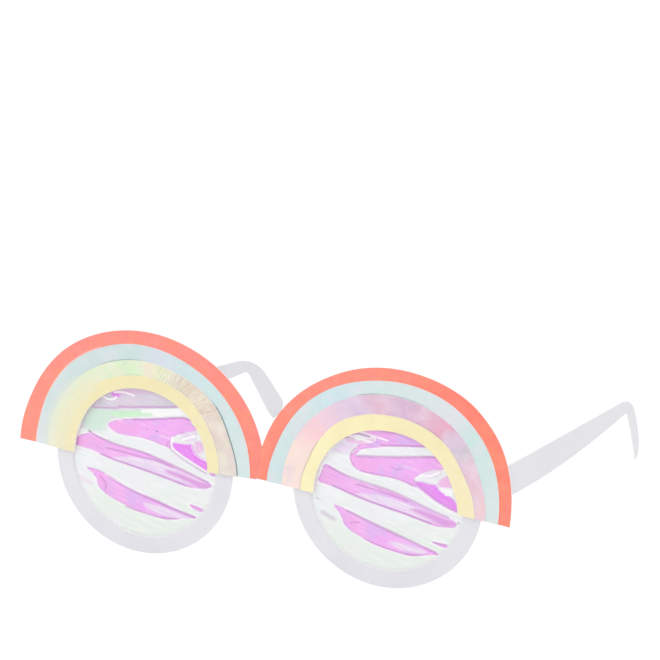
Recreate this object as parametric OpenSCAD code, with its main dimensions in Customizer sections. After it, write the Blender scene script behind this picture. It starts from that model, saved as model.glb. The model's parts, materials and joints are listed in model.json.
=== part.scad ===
// Rainbow party glasses with diffraction film lenses, built up from layers of paper card.
// They stand as the real pair does on a table, on both rims and on the tips of both ear hooks,
// so the front leans back a little. +X is the viewer's right, the front faces -Y, +Z is up
// and the table is at Z = 0. The front is drawn flat, with x to the right and z up from the
// middle between the two lenses, and is then leaned back and lifted onto the table.

/* [Rainbow arches] */
// Distance between the middles of the two lenses
eye_spacing = 73.8; // [71:0.1:77]
// Outer radius of the coral arch
coral_r = 38.1; // [37.4:0.1:39]
// Width of the coral band that shows
coral_w = 3.9; // [3:0.1:4.5]
// Width of the mint band that shows
mint_w = 4.5; // [3.8:0.1:5.2]
// Width of the iridescent band that shows
iridescent_w = 5.0; // [4:0.1:5.6]
// Width of the yellow band
yellow_w = 4.0; // [3:0.1:4.6]
// Thickness of each coloured paper ply
ply_t = 0.3; // [0.2:0.05:0.4]
// Height of the left rainbow's right foot at its opening and its edge, then of its left foot
left_feet = [-0.25, -0.25, -0.65, 0.7]; // [-2:0.05:1]
// Height of the right rainbow's right foot at its opening and its edge, then of its left foot
right_feet = [-0.35, -1.5, -0.95, -0.85]; // [-2:0.05:1]
// Where the left rainbow was glued, to the right and up from its lens
left_arch_shift = [-1.2, 0.6]; // [-2:0.1:2]
// Turn of the left rainbow, anticlockwise as the viewer sees it
left_arch_roll = -1.9; // [-4:0.1:4]
// Where the right rainbow was glued, to the right and up from its lens
right_arch_shift = [-0.5, -2.0]; // [-2:0.1:2]
// Turn of the right rainbow, anticlockwise as the viewer sees it
right_arch_roll = -3.2; // [-4:0.1:4]
// Gap where the left rainbow is trimmed against the right one
seam_gap = 0.05; // [0.02:0.01:0.2]

/* [Card front] */
// Diameter of each lens opening
lens_d = 45.8; // [44:0.1:47]
// Width of the card rim around each lens
rim_w = 4.8; // [4:0.1:5.4]
// Thickness of the front card
front_card_t = 0.45; // [0.3:0.05:0.7]
// Thickness of the rear card
rear_card_t = 0.35; // [0.25:0.05:0.6]
// How far the front card stays inside the edge of the coral arch
card_inset = 0.6; // [0.3:0.1:1]
// How far the rear card stays inside the outline of the front card
rear_inset = 0.2; // [0.1:0.05:0.4]
// Height of the nose bridge
bridge_h = 5.4; // [4:0.1:6]
// Height of the bottom of the bridge above the middle of the lenses
bridge_rise = 0.2; // [0:0.1:0.8]

/* [Lens film] */
// Thickness of the diffraction film and of the adhesive beside it
film_t = 0.15; // [0.1:0.05:0.3]
// How far the film reaches behind the rim
film_margin = 2.4; // [1.5:0.1:3]
// Gap between the edge of the film and the adhesive
film_gap = 0.2; // [0.1:0.05:0.4]
// How far the adhesive stays inside the outline of the front card
glue_inset = 0.5; // [0.4:0.1:0.8]

/* [Temples] */
// Thickness of the temple card
temple_t = 0.45; // [0.3:0.05:0.7]
// Distance of the crease inside the edge of the coral arch
crease_inset = 4.6; // [4:0.1:5.5]
// Length from the crease to the inner corner of the bend
arm_len = 107; // [95:0.1:120]
// Height of the arm at the crease
root_h = 8.9; // [8:0.1:10]
// Height of the lower edge of the arm at the crease above the middle of the lenses
root_low = 2.5; // [1.4:0.1:3]
// How much the lower edge of the arm drops towards the bend
arm_fall = 3.1; // [2:0.1:4.5]
// How far the lower edge of the arm bows down between the crease and the bend
arm_bow = 1.8; // [0.5:0.1:2.3]
// Length of the straight front edge of the ear hook
hook_len = 20.9; // [16:0.1:23]
// Angle of the ear hook below the arm
hook_drop = 53.6; // [48:0.2:60]
// Width of the ear hook at the bend
hook_w = 5.7; // [5.2:0.1:6.6]
// Width of the flared end of the ear hook
hook_end_w = 8.6; // [7:0.1:10]
// Length of the pointed tip of the ear hook
hook_tip_len = 4.5; // [3.5:0.1:5.5]
// Rounding of the tip, the end, the start of the tip and the inner bend of the ear hook
hook_round = [1.1, 3, 3, 4]; // [1:0.1:5]
// Rounding of the outer bend between the arm and the ear hook
bend_round = 26; // [16:1:30]
// How far the end of the left and of the right ear hook is curled inwards
hook_curl = [0, 3]; // [0:0.1:4]
// Toe-in of the left temple as it stands
left_toe_in = 12; // [-5:1:15]
// Toe-in of the right temple as it stands, negative as it splays out
right_toe_in = -5; // [-10:1:10]

/* [Crease and glue tab] */
// Width of the glue tab inside the crease
tab_w = 9.8; // [7:0.1:10.2]
// How far the glue tab stays inside the height of the arm
tab_step = 0.7; // [0.3:0.1:1.2]
// Thickness of the tape under the glue tab
tab_tape_t = 0.1; // [0.05:0.05:0.2]
// How far the tape stays inside the glue tab
tab_tape_inset = 0.6; // [0.3:0.1:1]
// Play between the folded card and its glue tab
fold_gap = 0.05; // [0.03:0.01:0.1]
// How far the pressed ridge of the crease stays inside the height of the arm
ridge_end = 0.4; // [0.2:0.1:0.8]

/* [Hidden] */
$fn = 96;
LEFT = -1;
RIGHT = 1;
OPENING = 4;
CORNER_STEPS = 6;
BOW_STEPS = 8;
CURL_STEPS = 5;
TURN_STEP = 3;
TAB_ROUND = 1.2;
CUT = 1;

coral_colour = [1.00, 0.55, 0.49];
mint_colour = [0.84, 0.90, 0.90];
green_foil_colour = [0.90, 0.93, 0.82];
pink_foil_colour = [0.90, 0.82, 0.86];
yellow_colour = [0.97, 0.93, 0.74];
card_colour = [0.89, 0.89, 0.91];
film_colour = [0.92, 0.74, 0.97];
glue_colour = [0.95, 0.95, 0.90];

// Outer radius of each ply, from the coral at the back to the yellow at the front
mint_r = coral_r - coral_w;
iridescent_r = mint_r - mint_w;
yellow_r = iridescent_r - iridescent_w;
ply_r = [coral_r, mint_r, iridescent_r, yellow_r, yellow_r - yellow_w];

// Scissor-cut edges of the coral, mint, iridescent and yellow plies and of their opening, as how
// far each one swings off its arc at angles from the right foot round to the left foot
left_waves = [
    [[0, 0.7], [30, 0.7], [70, 0], [100, 0], [130, 0.3], [157, -0.2], [180, 0.5]],
    [[0, 0.2], [20, 0.1], [65, -0.6], [95, 0], [130, 0], [165, -1.3], [180, -1]],
    [[0, 0.8], [20, -0.2], [40, 0.6], [70, -0.2], [180, -0.2]],
    [[0, 0.4], [30, 0.2], [50, 0.8], [110, 0.4], [180, 0.2]],
    [[0, 0.9], [110, 0.6], [140, 0.2], [160, -0.3], [180, -0.2]],
];
right_waves = [
    [[0, -1.9], [12, -1.4], [35, 0.3], [55, 0.8], [80, -0.1], [120, -0.7], [150, 0], [180, 0.1]],
    [[0, -1.3], [12, -1], [35, 0.2], [60, 0.7], [100, -0.2], [135, 0.3], [162, 0], [180, 0.8]],
    [[0, 0.5], [25, -0.5], [45, 0.4], [80, 0.5], [180, 0.6]],
    [[0, 1.7], [30, 0.1], [50, 0.7], [90, -0.1], [128, 0.4], [160, -0.8], [180, -0.1]],
    [[0, 0.9], [10, 0.6], [20, 0], [60, 0], [95, -0.6], [130, -0.2], [180, 0]],
];

lens_r = lens_d / 2;
rim_r = lens_r + rim_w;
film_r = lens_r + film_margin;

// The bridge runs from the middle of one rim to the middle of the other
bridge_reach = eye_spacing / 2 - lens_r - rim_w / 2;

// Depths behind the face of the front card
film_back = front_card_t + film_t;
stack_back = film_back + rear_card_t;
tab_back = stack_back + tab_tape_t + temple_t;

// The crease, with the temple card wrapped round its axis
crease_x = eye_spacing / 2 + coral_r - crease_inset;
crease_y = tab_back + fold_gap;
tab_edge = crease_x - temple_t - fold_gap;

// Corners of the temple, drawn with its length along x and its height along y
hook_dir = [cos(hook_drop), -sin(hook_drop)];
hook_out = [sin(hook_drop), cos(hook_drop)];
inner_bend = [arm_len, root_low - arm_fall];
tip_start = inner_bend + hook_len * hook_dir;
hook_tip = tip_start + hook_tip_len * (hook_dir + 0.13 * hook_out);
hook_end = tip_start + hook_end_w * hook_out + 1.8 * hook_tip_len * hook_dir;
outer_bend = inner_bend + hook_w * (hook_out - 0.12 * hook_dir);
low_root = [0, root_low];
bow_pull = [0.42 * arm_len, root_low - 0.42 * arm_fall - 2 * arm_bow];
temple_corners = [
    for (i = [0:BOW_STEPS - 1]) [bowed(low_root, bow_pull, inner_bend, i / BOW_STEPS), 0],
    [inner_bend, hook_round[3]],
    [tip_start, hook_round[2]],
    [hook_tip, hook_round[0]],
    [hook_end, hook_round[1]],
    [outer_bend, bend_round],
    [[0, root_low + root_h], 0],
];

// The pair leans back until the rims and the further ear tip touch the table
tip_middle = round_middle(tip_start, hook_tip, hook_end, hook_round[0]);
tip_reach = crease_y + tip_middle.x * max(cos(left_toe_in), cos(right_toe_in)) - front_card_t;
tip_rise = rim_r + tip_middle.y;
lean = atan2(tip_rise, tip_reach) - asin(hook_round[0] / norm([tip_reach, tip_rise]));
lift = rim_r * cos(lean) + front_card_t * sin(lean);

// Direction from one point to another, one unit long
function direction(from, to) = (to - from) / norm(to - from);

// Half of the angle at corner b between its neighbours a and c
function half_angle(a, b, c) = acos(direction(b, a) * direction(b, c)) / 2;

// Middle of the arc that rounds corner b
function round_middle(a, b, c, r) =
    b + r / sin(half_angle(a, b, c)) * direction([0, 0], direction(b, a) + direction(b, c));

// Angle turned from one heading to another, between -180 and 180 degrees
function turn(from, to) = to - from - 360 * round((to - from) / 360);

// Points of the arc that rounds corner b, or the corner itself where it is sharp
function corner(a, b, c, r) = r == 0 ? [b] :
    let (
        middle = round_middle(a, b, c, r),
        reach = r / tan(half_angle(a, b, c)),
        first = b + reach * direction(b, a) - middle,
        last = b + reach * direction(b, c) - middle,
        start = atan2(first.y, first.x),
        sweep = turn(start, atan2(last.y, last.x))
    )
    [for (i = [0:CORNER_STEPS]) let (angle = start + sweep * i / CORNER_STEPS)
        middle + r * [cos(angle), sin(angle)]];

// Closed outline through corners given as [point, radius]
function rounded(corners) = let (n = len(corners))
    [for (i = [0:n - 1])
        each corner(corners[(i + n - 1) % n][0], corners[i][0], corners[(i + 1) % n][0], corners[i][1])];

// Point of a bowed edge that leaves a towards the pull and comes to b, at a share of the way
function bowed(a, pull, b, share) =
    (1 - share) * (1 - share) * a + 2 * share * (1 - share) * pull + share * share * b;

function arch_shift(side) = side == LEFT ? left_arch_shift : right_arch_shift;
function arch_roll(side) = side == LEFT ? left_arch_roll : right_arch_roll;
function arch_feet(side) = side == LEFT ? left_feet : right_feet;
function toe_in(side) = side == LEFT ? left_toe_in : right_toe_in;
function curl(side) = hook_curl[side == LEFT ? 0 : 1];

// How far a cut edge swings off its arc, held below the feet and smoothed between the marks
function swing(marks, angle) = let (at = angle > 270 ? 0 : min(angle, 180))
    (lookup(at - 5, marks) + 2 * lookup(at, marks) + lookup(at + 5, marks)) / 4;

function edge_r(side, level, angle) =
    ply_r[level] + swing((side == LEFT ? left_waves : right_waves)[level], angle);

// Leans the finished front back and lifts it onto the table
module stood() {
    translate([0, 0, lift]) rotate([-lean, 0, 0]) children();
}

// Flat sheet cut to a drawn outline, with its back face this far behind the front card's face
module sheet(back, thickness) {
    stood() translate([0, back, 0]) rotate([90, 0, 0]) linear_extrude(thickness) children();
}

// Draws the right side as it is and the left side as its mirror image
module on_side(side) {
    mirror([side == LEFT ? 1 : 0, 0, 0]) children();
}

module at_lens(side) {
    translate([side * eye_spacing / 2, 0]) children();
}

module at_arch(side) {
    at_lens(side) translate(arch_shift(side)) rotate(arch_roll(side)) children();
}

// Disc with the cut edge of one ply, grown by this much
module cut_disc(side, level, grow) {
    polygon([for (angle = [0:TURN_STEP:360 - TURN_STEP])
        (edge_r(side, level, angle) + grow) * [cos(angle), sin(angle)]]);
}

// Everything below the feet, whose cut runs straight from the opening to the edge
module below_feet(side, raise) {
    feet = arch_feet(side);
    reach = 2 * coral_r;
    run = coral_r - ply_r[OPENING];
    function foot(inner, outer, x) = raise + inner + (outer - inner) * (x - ply_r[OPENING]) / run;
    polygon([
        [-reach, -reach], [reach, -reach], [reach, foot(feet[0], feet[1], reach)],
        [0, foot(feet[0], feet[1], 0)], [0, foot(feet[2], feet[3], 0)],
        [-reach, foot(feet[2], feet[3], reach)],
    ]);
}

// Outline of one coloured ply, trimmed where the right rainbow meets the left one
module ply_outline(side, level) {
    difference() {
        at_arch(side) difference() {
            cut_disc(side, level, 0);
            cut_disc(side, OPENING, 0);
            below_feet(side, 0);
        }
        if (side == LEFT) at_arch(RIGHT) cut_disc(RIGHT, 0, seam_gap);
    }
}

// Outline that both cards share: two rims, a backing for each rainbow and the bridge
module card_outline(inset, opening_r) {
    difference() {
        union() {
            for (side = [LEFT, RIGHT]) {
                at_lens(side) circle(rim_r - inset);
                at_arch(side) difference() {
                    cut_disc(side, 0, -card_inset - inset);
                    below_feet(side, card_inset + inset);
                }
            }
            translate([-bridge_reach, bridge_rise + inset])
                square([2 * bridge_reach, bridge_h - 2 * inset]);
        }
        for (side = [LEFT, RIGHT]) at_lens(side) circle(opening_r);
    }
}

// Outline of the glue tab on the right side, drawn in from its edges by this much
module tab_outline(inset) {
    low = root_low + tab_step + inset;
    high = root_low + root_h - tab_step - inset;
    inner = tab_edge - tab_w + inset;
    outer = tab_edge - inset;
    polygon(rounded([
        [[inner, low], TAB_ROUND], [[outer, low], 0], [[outer, high], 0], [[inner, high], TAB_ROUND],
    ]));
}

module rainbow_ply(side, level) {
    sheet(-level * ply_t, ply_t) ply_outline(side, level);
}

module front_card() {
    color(card_colour) sheet(front_card_t, front_card_t) card_outline(0, lens_r);
}

module rear_card() {
    color(card_colour) sheet(stack_back, rear_card_t) card_outline(rear_inset, lens_r);
}

// The adhesive fills the space between the cards around both films
module bond_sheet() {
    color(glue_colour) sheet(film_back, film_t) card_outline(glue_inset, film_r + film_gap);
}

module lens_film(side) {
    color(film_colour) sheet(film_back, film_t) at_lens(side) circle(film_r);
}

module coral_arch(side) {
    color(coral_colour) rainbow_ply(side, 0);
}

module mint_arch(side) {
    color(mint_colour) rainbow_ply(side, 1);
}

module iridescent_arch(side) {
    color(side == LEFT ? green_foil_colour : pink_foil_colour) rainbow_ply(side, 2);
}

module yellow_arch(side) {
    color(yellow_colour) rainbow_ply(side, 3);
}

module glue_tab(side) {
    color(card_colour) on_side(side) sheet(tab_back, temple_t) tab_outline(0);
}

module tab_tape(side) {
    color(glue_colour) on_side(side)
        sheet(stack_back + tab_tape_t, tab_tape_t) tab_outline(tab_tape_inset);
}

// The temple card seen from above, straight to the bend and then curled inwards
module temple_plan(side) {
    start = inner_bend.x;
    run = hook_end.x + CUT - start;
    function curled(across, share) = [across - curl(side) * share * share, start + share * run];
    polygon([
        [0, -CUT], [temple_t, -CUT],
        for (i = [0:CURL_STEPS]) curled(temple_t, i / CURL_STEPS),
        for (i = [CURL_STEPS:-1:0]) curled(0, i / CURL_STEPS),
    ]);
}

// The arm and the ear hook, with the pressed ridge of the crease that they fold about
module temple(side) {
    across = curl(side) + temple_t + 2 * CUT;
    color(card_colour) on_side(side) stood() translate([crease_x, crease_y, 0])
        rotate([0, 0, toe_in(side)]) {
            intersection() {
                translate([-curl(side) - CUT, 0, 0]) rotate([90, 0, 90]) linear_extrude(across)
                    polygon(rounded(temple_corners));
                translate([0, 0, hook_tip.y - CUT]) linear_extrude(root_low + root_h - hook_tip.y + 2 * CUT)
                    temple_plan(side);
            }
            translate([0, 0, root_low + ridge_end]) cylinder(r = temple_t, h = root_h - 2 * ridge_end);
        }
}

front_card();
rear_card();
bond_sheet();
lens_film(LEFT);  // lens_film_left
lens_film(RIGHT);  // lens_film_right
coral_arch(LEFT);  // coral_arch_left
coral_arch(RIGHT);  // coral_arch_right
mint_arch(LEFT);  // mint_arch_left
mint_arch(RIGHT);  // mint_arch_right
iridescent_arch(LEFT);  // iridescent_arch_left
iridescent_arch(RIGHT);  // iridescent_arch_right
yellow_arch(LEFT);  // yellow_arch_left
yellow_arch(RIGHT);  // yellow_arch_right
glue_tab(LEFT);  // glue_tab_left
glue_tab(RIGHT);  // glue_tab_right
tab_tape(LEFT);  // tab_tape_left
tab_tape(RIGHT);  // tab_tape_right
temple(LEFT);  // temple_left
temple(RIGHT);  // temple_right
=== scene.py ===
"""Studio picture of rainbow party glasses made of layered paper.

Card rims hold two discs of wrinkled diffraction film, a rainbow of four paper plies stands over
each lens, and two creased card temples carry the pair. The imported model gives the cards, the
temples and the lean of the front. This script builds the plies and the films as finer meshes to
the same sizes, and gives every surface its finish.
"""

import json
import logging
import math
from abc import ABC, abstractmethod
from dataclasses import dataclass
from enum import Enum

import bmesh
import bpy
import numpy as np
from mathutils import Matrix, Quaternion, Vector, noise


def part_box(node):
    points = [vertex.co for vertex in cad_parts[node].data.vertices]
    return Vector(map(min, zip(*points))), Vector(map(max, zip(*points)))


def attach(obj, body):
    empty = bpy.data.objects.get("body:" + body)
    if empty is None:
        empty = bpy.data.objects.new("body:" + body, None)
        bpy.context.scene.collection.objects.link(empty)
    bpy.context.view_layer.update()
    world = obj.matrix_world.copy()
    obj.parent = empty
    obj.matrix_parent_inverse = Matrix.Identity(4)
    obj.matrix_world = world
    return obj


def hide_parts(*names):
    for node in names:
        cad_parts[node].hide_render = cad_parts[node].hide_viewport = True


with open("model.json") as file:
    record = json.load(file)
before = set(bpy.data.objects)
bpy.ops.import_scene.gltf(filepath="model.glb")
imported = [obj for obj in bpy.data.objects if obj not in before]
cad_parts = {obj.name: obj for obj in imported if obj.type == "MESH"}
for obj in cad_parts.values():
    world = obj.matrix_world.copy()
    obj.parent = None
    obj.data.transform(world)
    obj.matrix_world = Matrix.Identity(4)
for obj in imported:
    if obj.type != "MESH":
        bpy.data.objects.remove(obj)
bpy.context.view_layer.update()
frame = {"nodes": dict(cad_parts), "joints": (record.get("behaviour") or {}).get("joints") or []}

LOG = logging.getLogger("party_glasses")
MM = 0.001
FRONT_BODY = "front"
# Distance of the middle of each lens from the middle of the bridge, in millimetres
LENS_X = 36.9
# Depth of the middle of the films behind the face of the front card, in millimetres
FILM_DEPTH = 0.525
# How steeply the wrinkles and streaks of the films fall to the right, in degrees
WRINKLE_FALL = 18
# Vertex attribute for how far a point of a ply lies past the edge of the ply in front
PAST_FRONT = "past_front"
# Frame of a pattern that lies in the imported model's own coordinates
MODEL_FRAME = Matrix()

Point = tuple[float, float]
Triple = tuple[float, float, float]
Material = bpy.types.Material
Mesh = bmesh.types.BMesh
Piece = bpy.types.Object


class Side(Enum):
    """The viewer's left and right."""

    LEFT = -1
    RIGHT = 1

    @property
    def word(self) -> str:
        """The side as it stands in the names of nodes."""
        return self.name.lower()


@dataclass(frozen=True)
class Tone:
    """A colour as a screen shows it, each part from 0 to 255."""

    red: float
    green: float
    blue: float

    def linear(self) -> tuple[float, float, float, float]:
        """Undoes the screen's tone curve.

        Returns:
            Red, green and blue in the renderer's linear values, and a full alpha.
        """
        parts = []
        for part in (self.red, self.green, self.blue):
            share = part / 255
            parts.append(share / 12.92 if share <= 0.04045 else ((share + 0.055) / 1.055) ** 2.4)
        return (*parts, 1.0)


WHITE = Tone(255, 255, 255)
PULP = Tone(246, 245, 245)


@dataclass(frozen=True)
class FrontPlane:
    """The leaning plane of the card front.

    A flat point is (x, z, depth) in millimetres: x to the right and z up from the middle
    between the lenses, and depth backwards from the face of the front card.
    """

    lean: float
    origin: Vector

    @classmethod
    def from_frame(cls) -> "FrontPlane":
        """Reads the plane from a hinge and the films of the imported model.

        Returns:
            The plane, with its lean in radians and its origin in metres.
        """
        fold = next(joint for joint in frame["joints"] if joint["name"] == "right_temple_fold")
        lean = math.atan2(fold["axis"][1], fold["axis"][2])
        corners = [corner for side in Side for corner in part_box(f"lens_film_{side.word}")]
        middle = sum(corners, Vector()) / len(corners)
        back = Matrix.Rotation(-lean, 3, "X") @ Vector((0, FILM_DEPTH * MM, 0))
        return cls(lean, middle - back)

    def matrix(self) -> Matrix:
        """Turns (x, depth, z) in metres into a place in the frame."""
        return Matrix.Translation(self.origin) @ Matrix.Rotation(-self.lean, 4, "X")

    def around(self, x: float, z: float, roll: float = 0.0) -> Matrix:
        """The same turn about a flat point, rolled anticlockwise by this many degrees."""
        shift = Matrix.Translation((x * MM, 0, z * MM))
        return self.matrix() @ shift @ Matrix.Rotation(-math.radians(roll), 4, "Y")

    def leaned(self, direction: Vector) -> Vector:
        """A direction of the upright front, leaned back with it."""
        return self.matrix().to_3x3() @ direction


class Wire:
    """An output socket of a shader node. Sums and products of wires add Math nodes."""

    def __init__(self, graph: "Graph", socket: bpy.types.NodeSocket) -> None:
        """Keeps the socket and the graph that it belongs to."""
        self.graph = graph
        self.socket = socket

    def _maths(self, operation: str, *values: "Value") -> "Wire":
        """A Math node of this operation over these values."""
        return self.graph.node("ShaderNodeMath", {"operation": operation}, dict(enumerate(values)))

    def __add__(self, other: "Value") -> "Wire":
        """This plus the other."""
        return self._maths("ADD", self, other)

    def __radd__(self, other: "Value") -> "Wire":
        """The other plus this."""
        return self._maths("ADD", other, self)

    def __sub__(self, other: "Value") -> "Wire":
        """This less the other."""
        return self._maths("SUBTRACT", self, other)

    def __rsub__(self, other: "Value") -> "Wire":
        """The other less this."""
        return self._maths("SUBTRACT", other, self)

    def __mul__(self, other: "Value") -> "Wire":
        """This times the other."""
        return self._maths("MULTIPLY", self, other)

    def __rmul__(self, other: "Value") -> "Wire":
        """The other times this."""
        return self._maths("MULTIPLY", other, self)

    def __truediv__(self, other: "Value") -> "Wire":
        """This over the other."""
        return self._maths("DIVIDE", self, other)

    def __abs__(self) -> "Wire":
        """The size of this without its sign."""
        return self._maths("ABSOLUTE", self)

    def angle_from(self, across: "Wire") -> "Wire":
        """The angle, in degrees, of the direction that this rises over a run across."""
        return self._maths("DEGREES", self._maths("ARCTAN2", self, across))

    def length_with(self, other: "Wire") -> "Wire":
        """The length of the direction with this and the other as its sides."""
        return self._maths("SQRT", self * self + other * other)

    def step(self, low: float, high: float) -> "Wire":
        """A smooth rise from 0 at low to 1 at high, or a fall where high is the lower one."""
        settings = {"interpolation_type": "SMOOTHSTEP"}
        return self.graph.node("ShaderNodeMapRange", settings, {0: self, 1: low, 2: high})

    def window(self, low: float, high: float, soft: float) -> "Wire":
        """1 from low to high, with soft ends outside them."""
        return self.step(low - soft, low) * self.step(high + soft, high)


Value = Wire | Tone | float | int | tuple | Vector


class Graph:
    """The node tree of one material or world."""

    def __init__(self, owner: Material | bpy.types.World) -> None:
        """Empties a node tree.

        Args:
            owner: the material or world that it belongs to.
        """
        self.owner = owner
        owner.use_nodes = True
        self.tree = owner.node_tree
        self.tree.nodes.clear()

    def add(self, kind: str, settings: dict, inputs: dict) -> bpy.types.ShaderNode:
        """Adds one node.

        Args:
            kind: the node's type.
            settings: what is set before the sockets. The stops of a ramp are (place, tone) pairs.
            inputs: values or wires by socket name or number.

        Returns:
            The node.
        """
        made = self.tree.nodes.new(kind)
        for key, value in settings.items():
            if key == "stops":
                self._set_stops(made.color_ramp, value)
            else:
                setattr(made, key, value)
        for key, value in inputs.items():
            if isinstance(value, Wire):
                self.tree.links.new(value.socket, made.inputs[key])
            else:
                made.inputs[key].default_value = value
        return made

    @staticmethod
    def _set_stops(ramp: bpy.types.ColorRamp, stops: list[tuple[float, Tone]]) -> None:
        """Gives a colour ramp its stops.

        Args:
            ramp: the ramp.
            stops: places from 0 to 1 and their tones, in rising order.
        """
        ramp.interpolation = "EASE"
        while len(ramp.elements) < len(stops):
            ramp.elements.new(1.0)
        while len(ramp.elements) > len(stops):
            ramp.elements.remove(ramp.elements[-1])
        for element, (place, tone) in zip(ramp.elements, stops):
            element.position = place
            element.color = tone.linear()

    def node(self, kind: str, settings: dict, inputs: dict, output: int | str = 0) -> Wire:
        """Adds one node, as add does, and hands back a wire from one of its outputs."""
        return Wire(self, self.add(kind, settings, inputs).outputs[output])

    def mix(self, low: Value, high: Value, share: Value) -> Wire:
        """A colour from low to high by a share."""
        low, high = (end.linear() if isinstance(end, Tone) else end for end in (low, high))
        return self.node("ShaderNodeMix", {"data_type": "RGBA"}, {0: share, 6: low, 7: high}, 2)

    def coated(self, base: Value, *coats: tuple[Value, Value]) -> Wire:
        """A colour with others laid over it.

        Args:
            base: the colour underneath.
            coats: each coat's colour and share, from the lowest to the topmost.

        Returns:
            The colour that shows.
        """
        for colour, share in coats:
            base = self.mix(base, colour, share)
        return base

    def noise(self, where: Wire, scale: float, detail: float = 2.0) -> Wire:
        """Smooth noise from 0 to 1, mostly near 0.5."""
        inputs = {"Vector": where, "Scale": scale, "Detail": detail}
        return self.node("ShaderNodeTexNoise", {}, inputs)

    def attribute(self, name: str) -> Wire:
        """A number kept at each vertex of the mesh."""
        settings = {"attribute_type": "GEOMETRY", "attribute_name": name}
        return self.node("ShaderNodeAttribute", settings, {}, "Fac")

    def local(self, matrix: Matrix) -> Wire:
        """Coordinates along the axes of a local frame.

        Args:
            matrix: the frame's place in the model, in metres.

        Returns:
            The coordinates, in millimetres.
        """
        inward = matrix.inverted()
        where = self.node("ShaderNodeTexCoord", {}, {}, "Object")
        inputs = {
            "Vector": where,
            "Location": inward.to_translation() / MM,
            "Rotation": inward.to_euler("XYZ"),
            "Scale": (1 / MM, 1 / MM, 1 / MM),
        }
        return self.node("ShaderNodeMapping", {"vector_type": "POINT"}, inputs)

    def stretched(self, where: Wire, scale: Triple) -> Wire:
        """Coordinates scaled along each axis."""
        return self.node("ShaderNodeVectorMath", {"operation": "MULTIPLY"}, {0: where, 1: scale})

    def parts(self, vector: Wire) -> tuple[Wire, Wire, Wire]:
        """The three parts of a vector."""
        split = self.add("ShaderNodeSeparateXYZ", {}, {0: vector})
        return tuple(Wire(self, output) for output in split.outputs)

    def joined(self, x: Value, y: Value, z: Value) -> Wire:
        """A vector of three parts."""
        return self.node("ShaderNodeCombineXYZ", {}, {0: x, 1: y, 2: z})

    def bump(self, height: Wire, rise: float, strength: float = 1.0) -> Wire:
        """A normal tilted by a height whose full rise is this many millimetres."""
        inputs = {"Height": height, "Distance": rise * MM, "Strength": strength}
        return self.node("ShaderNodeBump", {}, inputs)

    def finish(self, inputs: dict) -> Material:
        """Ends the tree in a Principled shader.

        Args:
            inputs: the shader's values or wires by socket name.

        Returns:
            The material.
        """
        shader = self.node("ShaderNodeBsdfPrincipled", {}, inputs)
        self.add("ShaderNodeOutputMaterial", {}, {"Surface": shader})
        return self.owner


def eased(marks: tuple[Point, ...], at: float) -> float:
    """A value between marks.

    Args:
        marks: (place, value) pairs in rising order of place.
        at: the place to read.

    Returns:
        The value there, eased between the nearest marks and held beyond the ends.
    """
    if at <= marks[0][0]:
        return marks[0][1]
    for (low, first), (high, last) in zip(marks, marks[1:]):
        if at <= high:
            share = (at - low) / (high - low)
            return first + (last - first) * share * share * (3 - 2 * share)
    return marks[-1][1]


def curved(points: tuple[Point, ...], closed: bool, steps: int = 8) -> np.ndarray:
    """A smooth curve through points.

    Args:
        points: what the curve passes through, in order.
        closed: whether it returns to its first point.
        steps: pieces between two of the points.

    Returns:
        The points of the curve, one row each.
    """
    given = np.array(points)
    if closed:
        given = np.vstack([given[-1], given, given[0], given[1]])
    else:
        given = np.vstack([given[0], given, given[-1]])
    rows = []
    for before, start, end, after in zip(given, given[1:], given[2:], given[3:]):
        for share in np.arange(steps) / steps:
            slope_in, slope_out = (end - before) / 2, (after - start) / 2
            square, cube = share**2, share**3
            rows.append(
                (2 * cube - 3 * square + 1) * start + (cube - 2 * square + share) * slope_in
                + (3 * square - 2 * cube) * end + (cube - square) * slope_out
            )
    rows.append(rows[0] if closed else given[-2])
    return np.array(rows)


def distance_to(curve: np.ndarray, places: np.ndarray) -> np.ndarray:
    """Measures how far places lie from a curve.

    Args:
        curve: the points of the curve, one row each.
        places: the places, one row each.

    Returns:
        The distance of each place.
    """
    nearest = np.full(len(places), np.inf)
    for start, end in zip(curve, curve[1:]):
        along = end - start
        share = np.clip((places - start) @ along / max(along @ along, 1e-12), 0, 1)
        nearest = np.minimum(nearest, np.linalg.norm(places - start - share[:, None] * along, axis=1))
    return nearest


def is_within(curve: np.ndarray, places: np.ndarray) -> np.ndarray:
    """Finds the places inside a closed curve.

    Args:
        curve: the points of the curve, one row each, with the first one again at the end.
        places: the places, one row each.

    Returns:
        Whether each place lies inside.
    """
    inside = np.zeros(len(places), bool)
    x, z = places[:, 0], places[:, 1]
    for (x1, z1), (x2, z2) in zip(curve, curve[1:]):
        if z1 == z2:
            continue
        crosses = (z1 > z) != (z2 > z)
        inside ^= crosses & (x < (x2 - x1) * (z - z1) / (z2 - z1) + x1)
    return inside


def add_piece(name: str, sheet: Mesh, materials: list[Material], node: str) -> Piece:
    """Makes a piece of the front from a mesh.

    Args:
        name: the piece's name.
        sheet: its mesh, in the frame, which is freed.
        materials: its material slots in order.
        node: the CAD node that it stands for.

    Returns:
        The new piece.
    """
    mesh = bpy.data.meshes.new(name)
    sheet.to_mesh(mesh)
    sheet.free()
    for material in materials:
        mesh.materials.append(material)
    piece = bpy.data.objects.new(name, mesh)
    bpy.context.scene.collection.objects.link(piece)
    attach(piece, FRONT_BODY)
    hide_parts(node)
    LOG.info("%s: %d faces, for %s", name, len(mesh.polygons), node)
    return piece


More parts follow.
